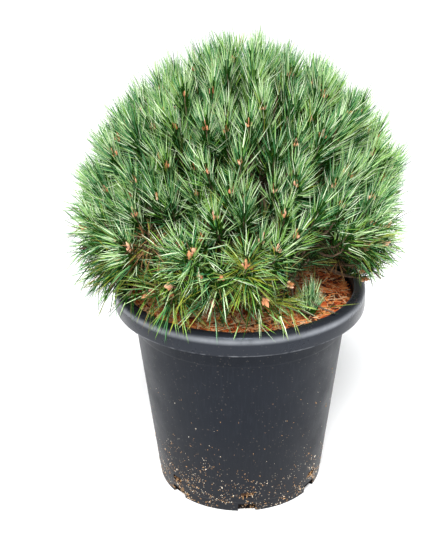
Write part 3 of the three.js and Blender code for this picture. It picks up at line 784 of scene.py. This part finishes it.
def needle_finishes():
    """Waxy skins with a soft, slightly milky shine, less on the dark and the dead ones: outer faces
    first, then the inner faces, which carry a pale bloom of wax."""
    return [new_finish(f"needle_{name}", colour, roughness, IOR=1.45, Specular_IOR_Level=shine)[0]
            for name, colour, roughness, shine in (
                ("blue_green", "#4b8652", 0.33, 0.4),
                ("mid_green", "#7cab46", 0.33, 0.4),
                ("pale_green", "#b3d392", 0.35, 0.4),
                ("deep_green", "#1e470b", 0.5, 0.15),
                ("yellow_green", "#95a035", 0.42, 0.3),
                ("olive", "#616a2c", 0.45, 0.3),
                # Near-black green that stands as painted shade deep in the crown
                ("shaded_green", "#0a2103", 0.6, 0.1),
                ("dead_brown", "#412b17", 0.7, 0.12),
                ("dead_straw", "#967048", 0.7, 0.2),
                ("bloom_pale", "#e0f1cd", 0.4, 0.4),
                ("bloom_mid", "#93bc75", 0.45, 0.4),
                ("bloom_yellow", "#8c9850", 0.45, 0.3),
            )]


BLUE, MID, PALE, DEEP, YELLOW, OLIVE, SHADED, BROWN, STRAW, BLOOM_PALE, BLOOM_MID, BLOOM_YELLOW = range(12)

# Chances of the outer tints on a shoot of each kind, from blue to straw. The behind, below, within and dry
# kinds lean to shaded_green and deep_green as painted shade, beside real dead brown and straw
SPRAYS = {
    "fresh": (0.16, 0.34, 0.32, 0.14, 0.03, 0.0, 0.0, 0.004, 0.002),
    "blue": (0.44, 0.12, 0.30, 0.14, 0.0, 0.0, 0.0, 0.003, 0.002),
    "deep": (0.40, 0.12, 0.12, 0.36, 0.0, 0.0, 0.0, 0.006, 0.002),
    "olive": (0.11, 0.10, 0.04, 0.27, 0.08, 0.28, 0.08, 0.03, 0.01),
    "yellow": (0.02, 0.20, 0.08, 0.08, 0.52, 0.10, 0.0, 0.01, 0.01),
    "grey": (0.50, 0.06, 0.40, 0.04, 0.0, 0.0, 0.0, 0.0, 0.0),
    "behind": (0.06, 0.04, 0.0, 0.36, 0.02, 0.05, 0.44, 0.03, 0.0),
    "dry": (0.06, 0.05, 0.01, 0.32, 0.05, 0.13, 0.29, 0.07, 0.02),
    "below": (0.01, 0.02, 0.0, 0.14, 0.02, 0.08, 0.55, 0.15, 0.03),
    "within": (0.02, 0.0, 0.0, 0.16, 0.0, 0.06, 0.50, 0.24, 0.02),
    "dead": (0.0, 0.0, 0.0, 0.0, 0.04, 0.08, 0.20, 0.40, 0.28),
}


def spray_kind(end, rng):
    """Kind of a living outer shoot: olive and yellow-green ones stand low down."""
    low = np.clip((0.46 - end[2]) / 0.06, 0, 1)
    if rng.random() < 0.9 * low:
        return rng.choice(("yellow", "olive", "dry"), p=(0.08, 0.20, 0.72))
    return rng.choice(("fresh", "blue", "deep"), p=(0.36, 0.44, 0.20))


def deal_tints(kind, count, rng):
    weights = np.array(SPRAYS[kind])
    outer = rng.choice(len(weights), size=count, p=weights / weights.sum())
    bloom = np.where(rng.random(count) < 0.55, BLOOM_PALE, BLOOM_MID)
    bloom = np.where(np.isin(outer, (YELLOW, OLIVE)), BLOOM_YELLOW, bloom)
    bloom = np.where(outer == DEEP, BLUE, bloom)
    if kind in ("olive", "dry"):
        bloom = np.where(outer == BLUE, MID, np.where(bloom == BLOOM_PALE, BLOOM_MID, bloom))
        bloom = np.where(rng.random(count) < 0.65, outer, bloom)
    return outer, np.where(np.isin(outer, (SHADED, BROWN, STRAW)), outer, bloom)


def bud(end, axis, length, width):
    """Corners and triangles of a pointed, scaly bud."""
    shares = np.array([0.0, 0.2, 0.6, 1.0])
    line = end + axis * (shares * length)[:, None]
    return tube(line, width / 2 * np.array([0.6, 1.0, 0.85, 0.05]), 6)


def buds_on(end, axis, rng):
    """A terminal bud ringed by up to four smaller ones."""
    base = end - axis * 0.001
    grown = np.interp(end[2], [0.46, 0.62], [1.0, 0.72])
    found = [bud(base, axis, grown * rng.uniform(0.012, 0.016), grown * rng.uniform(0.0058, 0.0074))]
    side, across = square_to(axis, rng)
    for turn in np.arange(rng.integers(2, 5)) * 1.6 + rng.random():
        out = side * math.cos(turn) + across * math.sin(turn)
        lean = unit(axis + out * 0.3)
        found.append(bud(base + out * 0.0026 - axis * 0.001, lean, grown * rng.uniform(0.006, 0.009), 0.0042))
    return found


# Outer shoots carry buds; the others fill the depth behind them with straight needles, mostly painted darker
# as shade
LAYERS = (
    {"name": "outer", "count": 620, "depth": 0.010, "uneven": 0.008, "fascicles": 52, "needle": 0.052,
     "hollow": 0.215, "bare": 0.022, "sparse": 0.455},
    {"name": "behind", "count": 540, "depth": 0.038, "uneven": 0.012, "fascicles": 38, "needle": 0.047,
     "hollow": 0.190, "bare": 0.020, "sparse": 0.42},
    {"name": "within", "count": 380, "depth": 0.078, "uneven": 0.015, "fascicles": 34, "needle": 0.045,
     "hollow": 0.140, "bare": 0.0, "sparse": 0.42},
)

# Bare place low on the left of the front, where dead twigs show
BARE_PLACE = np.array([-0.113, -0.186, 0.448])

# Single sprays at the leader and low down: place of the end, axis, fascicles, needle, openness, kind,
# whether it has a bud
SINGLE_SPRAYS = (
    ((-0.010, -0.002, 0.642), (-0.08, -0.05, 1.00), 30, 0.046, 0.0, "fresh", True),
    ((0.012, 0.000, 0.638), (0.10, -0.02, 1.00), 30, 0.046, 0.0, "blue", False),
    ((0.028, -0.006, 0.630), (0.22, -0.05, 1.00), 30, 0.046, 0.0, "fresh", True),
    ((-0.087, -0.172, 0.376), (-0.10, -0.70, 0.35), 34, 0.050, 1.0, "olive", True),
    ((-0.090, -0.172, 0.362), (-0.16, -0.42, -0.75), 13, 0.058, 0.25, "olive", False),
    ((-0.078, -0.172, 0.360), (0.05, -0.42, -0.80), 8, 0.056, 0.25, "yellow", False),
    ((-0.120, -0.150, 0.366), (-0.50, -0.55, -0.10), 22, 0.052, 0.7, "olive", True),
    ((-0.023, -0.208, 0.416), (0.05, -0.85, 0.30), 30, 0.050, 1.0, "grey", True),
    ((-0.056, -0.202, 0.448), (-0.10, -0.70, 0.60), 34, 0.050, 0.9, "blue", True),
    ((0.014, -0.208, 0.430), (0.05, -0.60, 0.05), 24, 0.050, 0.8, "dry", True),
    ((-0.034, -0.182, 0.372), (0.00, -0.60, -0.15), 26, 0.050, 0.8, "dry", True),
    ((-0.010, -0.172, 0.362), (0.05, -0.35, -0.85), 9, 0.050, 0.3, "dry", False),
    ((0.018, -0.170, 0.360), (0.10, -0.35, -0.85), 8, 0.048, 0.3, "deep", False),
    ((-0.052, -0.172, 0.360), (-0.05, -0.35, -0.85), 7, 0.048, 0.3, "deep", False),
    ((0.046, -0.158, 0.356), (0.50, -0.45, -0.10), 22, 0.050, 0.6, "yellow", False),
    ((0.070, -0.140, 0.346), (0.75, -0.30, -0.05), 22, 0.046, 0.5, "yellow", False),
    ((0.030, -0.165, 0.350), (0.35, -0.50, -0.55), 9, 0.048, 0.4, "fresh", False),
    ((0.002, -0.166, 0.336), (-0.10, -0.75, -0.40), 4, 0.050, 0.2, "grey", False),
    ((0.018, -0.168, 0.336), (0.28, -0.72, -0.46), 3, 0.056, 0.2, "fresh", False),
    ((0.098, -0.118, 0.320), (0.80, -0.40, 0.03), 7, 0.052, 0.3, "olive", False),
    ((0.128, -0.124, 0.326), (0.75, -0.45, 0.00), 4, 0.050, 0.2, "dry", False),
    ((-0.196, -0.088, 0.356), (-0.45, -0.25, -0.70), 15, 0.055, 0.4, "deep", False),
    ((-0.176, -0.115, 0.358), (-0.40, -0.45, -0.55), 15, 0.055, 0.4, "olive", False),
    ((-0.206, -0.050, 0.350), (-0.55, -0.10, -0.60), 14, 0.052, 0.4, "blue", False),
    ((-0.150, -0.128, 0.352), (-0.30, -0.50, -0.55), 12, 0.050, 0.4, "olive", False),
    ((-0.222, -0.062, 0.394), (-0.90, -0.25, -0.12), 18, 0.052, 0.5, "blue", False),
    ((-0.216, -0.088, 0.380), (-0.80, -0.40, -0.30), 15, 0.052, 0.4, "deep", False),
    ((-0.224, -0.024, 0.382), (-0.90, -0.05, -0.25), 16, 0.050, 0.4, "blue", False),
    ((0.196, -0.070, 0.352), (0.50, -0.20, -0.55), 12, 0.050, 0.4, "dry", False),
    ((0.202, -0.020, 0.350), (0.60, -0.05, -0.55), 12, 0.050, 0.4, "dry", False),
)

# Dead twigs that show in the bare place and in the hollow: end and axis
DEAD_TWIGS = (
    ((-0.104, -0.196, 0.452), (0.50, -0.40, 0.30)),
    ((-0.122, -0.180, 0.440), (-0.30, -0.50, -0.30)),
    ((-0.108, -0.190, 0.434), (0.30, -0.40, -0.60)),
    ((-0.130, -0.172, 0.456), (-0.70, -0.30, 0.20)),
    ((-0.112, -0.182, 0.464), (0.10, -0.50, 0.60)),
    ((-0.098, -0.196, 0.440), (0.60, -0.50, -0.20)),
    ((-0.126, -0.178, 0.428), (-0.20, -0.60, -0.60)),
    ((-0.092, -0.192, 0.428), (0.20, -0.60, -0.70)),
    ((-0.118, -0.150, 0.380), (-0.20, -0.50, -0.40)),
    ((-0.100, -0.146, 0.372), (0.40, -0.40, -0.40)),
    ((0.085, -0.062, 0.366), (0.20, -0.60, -0.30)),
    ((0.112, -0.048, 0.372), (0.10, -0.60, 0.10)),
    ((0.136, -0.058, 0.368), (-0.30, -0.60, -0.20)),
    ((0.148, -0.060, 0.384), (0.30, -0.60, 0.20)),
    ((0.098, -0.085, 0.378), (-0.50, -0.50, 0.10)),
)

# Small upright tuft in the hollow
TUFT_ENDS = ((0.095, -0.097, 0.332), (0.101, -0.100, 0.339), (0.087, -0.100, 0.328), (0.093, -0.106, 0.332),
             (0.098, -0.092, 0.342))


def fringe_sprays(rng):
    """Sprays that hang from the low boughs round the sides and the back."""
    found = []
    angles = np.arange(70, 290, 11.5)
    for angle in angles + rng.uniform(-3, 3, len(angles)):
        reach, height = rng.uniform(0.186, 0.206), rng.uniform(0.342, 0.360)
        place = heading(angle, 0) * reach + UP * height
        axis = heading(angle + rng.uniform(-25, 25), rng.uniform(-55, -25))
        found.append((place, axis, 14, 0.052, 0.4, rng.choice(("deep", "olive", "blue")), False))
    return found


def make_needles(needles, rng):
    """One piece of needles for each mass of foliage, in the place of its node."""
    finishes = needle_finishes()
    for mass, (title, *_) in enumerate(masses):
        parts, index = [], []
        for kind in NEEDLES:
            if not needles[mass, kind]:
                continue
            foot, needle, inner, curl, length, outer, bloom = [
                np.concatenate(part) for part in zip(*needles[mass, kind])]
            width = rng.uniform(*NEEDLE_WIDTHS, len(foot)) * (0.88 if kind == "arching" else 1)
            width[np.isin(outer, (BROWN, STRAW))] *= 0.7
            points, faces, tint = needle_mesh(foot, needle, inner, curl, length, width, outer, bloom, kind)
            parts.append((points, faces))
            index.append(tint)
        piece = new_piece(f"needles_{title}", *joined(parts), finishes, np.concatenate(index))
        slot = "low_needles" if title.startswith("low") else "needles"
        settle(piece, slot, f"foliage_{title}")


def make_twigs_and_buds(twigs, buds, rng):
    young = new_finish("young_twig_bark", "#5e4a38", 0.8)[0]
    settle(new_piece("twigs", *joined(twigs), [young], smooth=True), "bark")
    scales = new_finishes(
        ("bud_scales_terracotta", "#cb8a60", 0.55),
        ("bud_scales_rose", "#dfab8a", 0.6),
        ("bud_scales_brown", "#a4683c", 0.6),
    )
    each = np.repeat(rng.choice(3, len(buds), p=[0.5, 0.3, 0.2]), [len(part[1]) for part in buds])
    settle(new_piece("buds", *joined(buds), scales, each, smooth=True), "bark")


def grow_crown():
    """Shoots of the three layers, the single sprays, the dead twigs and the small tuft."""
    rng = np.random.default_rng(12)
    needles = {(i, kind): [] for i in range(len(masses)) for kind in NEEDLES}
    twigs, buds = [], []

    def grow(end, axis, mass, fascicles, length, openness, tints, form, budded,
             hollow=0, dip=0.06, root=None):
        line = twig_line(end, axis, mass, rng)
        if root is not None:
            line = bezier([root, (root + end) / 2, end], np.linspace(0, 1, TWIG_STEPS))
        girth = 0.45 if tints == "dead" else 1
        twigs.append(tube(line, np.linspace(*TWIG_RADII, TWIG_STEPS) * girth, 5))
        grown = brush(line, fascicles, length, openness, rng)
        outer, bloom = deal_tints(tints, len(grown[0]), rng)
        kept = within_reach(grown[0], grown[1], grown[3], grown[4], hollow, dip)
        needles[mass, form].append([part[kept] for part in grown] + [outer[kept], bloom[kept]])
        if budded:
            buds.extend(buds_on(end, axis, rng))

    for layer in LAYERS:
        ends, axes = shoots_at(layer, rng)
        for end, axis, mass in zip(ends, axes, owner_of(ends)):
            openness = np.clip((0.465 - end[2]) / 0.07, 0, 1)
            tints, form = layer["name"], "hidden"
            if tints == "outer":
                tints, form = spray_kind(end, rng), "arching" if openness > 0.3 else "straight"
            elif tints == "behind" and end[2] < 0.45:
                tints = "below"
            budded = layer["name"] == "outer" and rng.random() < 0.7
            sparse = 1 - 0.5 * np.clip((layer["sparse"] - end[2]) / 0.06, 0, 1)
            grow(end, axis, mass, int(sparse * layer["fascicles"]), layer["needle"], openness, tints, form,
                 budded, layer["hollow"], 0.002)
    singles = [(np.array(place), unit(np.array(axis)), *rest) for place, axis, *rest in SINGLE_SPRAYS]
    for end, axis, fascicles, length, openness, tints, budded in singles + fringe_sprays(rng):
        mass = owner_of(end[None])[0]
        grow(end, axis, mass, fascicles, length, openness, tints, "arching", budded)
    for place, axis in DEAD_TWIGS:
        end = np.array(place)
        grow(end, unit(np.array(axis)), owner_of(end[None])[0], 10, 0.030, 0.9, "dead", "arching", False)
    tuft = [mass[0] for mass in masses].index("low_tuft")
    for place in TUFT_ENDS:
        foot = np.array([place[0], place[1], MULCH_TOP + 0.004])
        grow(np.array(place), UP, tuft, 26, 0.038, 0.0, "grey", "straight", False, root=foot)

    make_needles(needles, rng)
    make_twigs_and_buds(twigs, buds, rng)


# Mulch of coir and bark

def slivers(foot, toward, bend, flat, length, width, thick):
    """Corners and triangles of bent strips with a flat section: fibres, bark and crumbs."""
    side = unit(np.cross(toward, flat))
    rings = []
    for share in (0.0, 0.5, 1.0):
        middle = foot + toward * (length * share)[:, None] + bend * (length * share * share)[:, None]
        girth = 0.55 if share != 0.5 else 1.0
        across = side * (width / 2 * girth)[:, None]
        rise = flat * (thick / 2)[:, None]
        rings += [middle + across + rise, middle - across + rise,
                  middle - across - rise, middle + across - rise]
    corners = np.stack(rings, axis=1)
    pattern = [[0, 1, 2], [0, 2, 3], [8, 10, 9], [8, 11, 10]]
    for ring in (0, 4):
        for k in range(4):
            a, b = ring + k, ring + (k + 1) % 4
            pattern += [[a, a + 4, b + 4], [a, b + 4, b]]
    start = np.arange(len(foot))[:, None, None] * corners.shape[1]
    return corners.reshape(-1, 3), (start + np.array(pattern)[None]).reshape(-1, 3), len(pattern)


def mulch_height(x, y):
    """Height of the bed: swells about 36 mm apart, with lumps about 11 mm apart, and a fall to the wall."""
    swells = noise.noise(Vector((x * 28, y * 28, 0.3))) * 0.0030
    lumps = noise.noise(Vector((x * 90, y * 90, 4))) * 0.0016
    fall = 0.0045 * max(math.hypot(x, y) / MULCH_RADIUS - 0.86, 0) / 0.14
    return MULCH_TOP - 0.0022 + (swells + lumps) - fall


def make_mulch_bed():
    """Uneven bed that the loose pieces lie on, closed underneath."""
    rings, sides = 46, 128
    points = [[0, 0, mulch_height(0, 0)]]
    for share in np.linspace(0.02, 1, rings):
        for turn in np.linspace(0, 2 * math.pi, sides, endpoint=False):
            x, y = MULCH_RADIUS * share * math.cos(turn), MULCH_RADIUS * share * math.sin(turn)
            points.append([x, y, mulch_height(x, y)])
    faces = []
    for k in range(sides):
        after = (k + 1) % sides
        faces.append([0, 1 + k, 1 + after])
        for ring in range(rings - 1):
            a, b = 1 + ring * sides + k, 1 + ring * sides + after
            faces += [[a, a + sides, b + sides], [a, b + sides, b]]
    edge, foot = 1 + (rings - 1) * sides, len(points)
    underside = MULCH_TOP - 0.0094
    points += [[x, y, underside] for x, y, z in points[edge:edge + sides]] + [[0, 0, underside]]
    for k in range(sides):
        after = (k + 1) % sides
        faces += [[edge + k, foot + k, foot + after], [edge + k, foot + after, edge + after],
                  [foot + sides, foot + after, foot + k]]
    # Shreds of bark and coir 4 to 8 mm across
    litter = crumbly("damp_coir_and_bark", "#9a5a34", 0.95, 170.0, 6.0,
                     (0.36, "#47220f"), (0.68, "#c57c49"), relief=0.8)
    bed = new_piece("mulch_bed", np.array(points), np.array(faces), [litter], smooth=True)
    settle(bed, "mulch", "mulch")


def make_mulch_shreds():
    """Fibres, shreds and fallen needles that lie criss-cross on the bed."""
    rng = np.random.default_rng(31)
    parts, index = [], []
    wall = COLLAR_RADIUS - 0.001
    # Count, length, width, thickness and the chances of each tint
    for count, long, wide, thick, chances in (
        (2600, (0.008, 0.030), (0.0008, 0.0018), 0.0007, (0.42, 0.28, 0.14, 0.12, 0.04)),
        (1500, (0.007, 0.020), (0.0025, 0.0060), 0.0012, (0.36, 0.26, 0.20, 0.18, 0.0)),
        (420, (0.025, 0.045), (0.0010, 0.0015), 0.0007, (0.10, 0.25, 0.10, 0.0, 0.55)),
    ):
        reach = MULCH_RADIUS * np.sqrt(rng.uniform(0.04, 0.985, count)) - 0.004
        turn = rng.uniform(0, 2 * math.pi, count)
        x, y = reach * np.cos(turn), reach * np.sin(turn)
        z = np.array([mulch_height(a, b) for a, b in zip(x, y)]) + rng.uniform(0.0003, 0.0048, count)
        bearing = rng.uniform(0, 2 * math.pi, count)
        toward = unit(np.stack([np.cos(bearing), np.sin(bearing), rng.normal(0.02, 0.14, count)], axis=-1))
        flat = unit(rng.normal(0, 0.35, (count, 3)) + UP)
        bend = rng.normal(0, 0.22, (count, 3)) * np.array([1, 1, 0.4])
        length = rng.uniform(*long, count)
        foot = np.stack([x, y, z], axis=-1) - toward * (length / 2)[:, None]
        far = foot + (toward + bend) * length[:, None]
        kept = (np.hypot(far[:, 0], far[:, 1]) < wall) & (np.hypot(foot[:, 0], foot[:, 1]) < wall)
        width = rng.uniform(*wide, count)
        corners, faces, each = slivers(foot[kept], toward[kept], bend[kept], flat[kept], length[kept],
                                       width[kept], np.full(kept.sum(), thick))
        parts.append((corners, faces))
        index.append(np.repeat(rng.choice(5, kept.sum(), p=chances), each))
    litter = new_finishes(
        ("coir_fibre_orange", "#f39a58", 0.85),
        ("coir_fibre_rust", "#cb5f28", 0.85),
        ("bark_shred_pale", "#fccb9b", 0.85),
        ("bark_shred_dark", "#5f3016", 0.9),
        ("dry_needle_straw", "#ead2a4", 0.7),
    )
    settle(new_piece("mulch_shreds", *joined(parts), litter, np.concatenate(index)), "mulch")


# Crumbs and fibres stuck to the container, and the substrate that shows in its drain holes

def crumb_finishes():
    return new_finishes(
        ("dried_peat_crumb", "#957658", 0.95),
        ("sand_grain_pale", "#e6d9c4", 0.8),
        ("coir_crumb_tan", "#b98f60", 0.9),
        ("damp_fibre_brown", "#46301d", 0.9),
    )


def make_crumbs(finishes):
    """Crumbs of dried substrate on the outside, in drifts: most low down, on the left of the front and
    round the drain holes."""
    rng = np.random.default_rng(44)
    count = 56000
    z = 0.003 + 0.205 * rng.random(count) ** 1.8
    turn = rng.uniform(-180, 180, count)
    between = 360 / NOTCHES
    hole = np.abs((turn - NOTCH_FIRST + between / 2) % between - between / 2)
    low = np.clip(1 - z / 0.12, 0, 1) * np.clip(z / 0.02, 0.25, 1)
    left = np.exp(-((turn + 34) / 22) ** 2)
    drifts = np.array([noise.noise(Vector((a / 8 + b * 60, b * 70, 2.0))) for a, b in zip(turn, z)])
    near_hole = np.exp(-(hole / 9) ** 2) * np.exp(-((z - DRAIN_Z) / 0.022) ** 2)
    chance = 0.05 + 0.30 * low ** 1.5 + 0.50 * low * left + 0.45 * near_hole
    kept = rng.random(count) < chance * 0.55 * np.clip(0.35 + 1.9 * drifts, 0.05, 1.6)
    z, turn = z[kept], np.radians(turn[kept])
    count = len(z)
    out = np.stack([np.sin(turn), -np.cos(turn), np.zeros(count)], axis=-1)
    radius = body_radius(z) + 0.0001
    foot = out * radius[:, None] + UP * z[:, None]
    hand = np.cross(UP, out)
    lie = rng.uniform(0, math.pi, count)
    toward = hand * np.cos(lie)[:, None] + UP * np.sin(lie)[:, None]
    length = rng.uniform(0.0004, 0.0013, count) * np.where(rng.random(count) < 0.06, 2.6, 1.0)
    width = np.clip(length * rng.uniform(0.35, 0.9, count), 0.0004, 0.0012)
    thick = np.clip(length * 0.5, 0.0005, 0.0011)
    points, faces, each = slivers(foot, toward, np.zeros((count, 3)), out, length, width, thick)
    index = np.repeat(rng.choice(3, count, p=[0.42, 0.24, 0.34]), each)
    settle(new_piece("crumbs", points, faces, finishes, index), "soil")


def make_drain_fibres(finishes):
    """Fibres of the substrate that stick out of the drain holes."""
    rng = np.random.default_rng(52)
    parts, index = [], []
    count = 20
    for angle in NOTCH_ANGLES:
        out = heading(angle, 0)
        hand = np.cross(UP, out)
        across = rng.uniform(-0.42, 0.42, count) * DRAIN_WIDTH
        rise = rng.uniform(-0.36, 0.30, count) * DRAIN_HEIGHT
        deep = body_radius(DRAIN_Z) - rng.uniform(0.0012, 0.0030, count)
        foot = out * deep[:, None] + hand * across[:, None] + UP * (DRAIN_Z + rise)[:, None]
        toward = unit(out * 0.5 + rng.normal(0, 0.5, (count, 3)) - UP * 0.35)
        bend = rng.normal(0, 0.4, (count, 3)) - UP * 0.5
        flat = unit(np.cross(toward, rng.normal(0, 1, (count, 3))))
        length = rng.uniform(0.0015, 0.0045, count)
        width, thick = rng.uniform(0.0005, 0.0010, count), np.full(count, 0.0005)
        corners, faces, each = slivers(foot, toward, bend, flat, length, width, thick)
        parts.append((corners, faces))
        index.append(np.repeat(rng.choice(4, count, p=(0.25, 0.08, 0.27, 0.40)), each))
    settle(new_piece("drain_fibres", *joined(parts), finishes, np.concatenate(index)), "soil")


def dress_soil():
    """Damp peat and bark substrate, dark, with crumbs about 4 mm across."""
    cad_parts["soil"].material_slots[0].material = crumbly(
        "damp_peat_substrate", "#33231a", 0.95, 260.0, 5.0, (0.0, "#1c120c"), (1.0, "#6a452b"), relief=0.9)


# Studio

def make_studio():
    """Pale floor and sky, a soft key light overhead, and softboxes in front, behind and at the right."""
    bpy.ops.mesh.primitive_plane_add(size=24)
    floor = bpy.context.object
    floor.name = "studio_floor"
    floor.data.materials.append(new_finish("matt_pale_floor", "#f8f8f8", 0.95)[0])
    world = bpy.context.scene.world or bpy.data.worlds.new("studio")
    bpy.context.scene.world = world
    world.use_nodes = True
    tree = world.node_tree
    sky = tree.nodes["Background"]
    sky.inputs["Color"].default_value = linear("#f2f5f8")
    # White round the horizon, so that the floor's far edge isn't seen, and dimmer overhead
    toward = add_node(tree, "ShaderNodeTexCoord").outputs["Generated"]
    rise = add_node(tree, "ShaderNodeSeparateXYZ", inputs={"Vector": toward}).outputs["Z"]
    glow = add_node(tree, "ShaderNodeMapRange", inputs={
        "Value": rise, "From Min": 0.18, "From Max": 0.5, "To Min": 1.1, "To Max": 0.25})
    tree.links.new(glow.outputs["Result"], sky.inputs["Strength"])
    for name, kind, place, power, size in (
        ("overhead_key", "SUN", (-0.2, -1.7, 2.5), 4.5, math.radians(26)),
        ("front_softbox", "AREA", (0.3, -2.5, 1.9), 36.0, 1.5),
        ("back_softbox", "AREA", (0.3, 1.2, 2.3), 14.0, 1.2),
        ("right_softbox", "AREA", (1.9, -0.5, 0.7), 3.0, 0.9),
    ):
        lamp = bpy.data.lights.new(name, kind)
        lamp.energy = power
        if kind == "SUN":
            lamp.angle = size
        else:
            lamp.size = size
        light = bpy.data.objects.new(name, lamp)
        light.location = place
        aim = Vector((0, 0, 0.38)) - Vector(place)
        light.rotation_euler = aim.to_track_quat("-Z", "Y").to_euler()
        bpy.context.scene.collection.objects.link(light)
    bpy.context.scene.view_settings.view_transform = "Standard"


def make_camera():
    """Camera 1.30 m in front and 0.90 m up, with the plant a little right of the middle."""
    data = bpy.data.cameras.new("photo_camera")
    data.sensor_width = 36.0
    data.lens = 65.2
    camera = bpy.data.objects.new("photo_camera", data)
    bpy.context.scene.collection.objects.link(camera)
    pitch, yaw, roll = math.radians(90 - 23.3), math.radians(1.275), math.radians(-0.6)
    turned = Matrix.Rotation(yaw, 4, "Z") @ Matrix.Rotation(pitch, 4, "X") @ Matrix.Rotation(roll, 4, "Z")
    camera.matrix_world = Matrix.Translation((0, -1.30, 0.90)) @ turned
    bpy.context.scene.camera = camera


for leftover in ("Cube", "Light", "Camera"):
    if leftover in bpy.data.objects:
        bpy.data.objects.remove(bpy.data.objects[leftover])

make_camera()
make_studio()
make_pot()
dress_soil()
make_mulch_bed()
make_mulch_shreds()
dirt = crumb_finishes()
make_crumbs(dirt)
make_drain_fibres(dirt)
bark = pine_bark()
make_trunk(bark)
make_boughs(bark)
grow_crown()
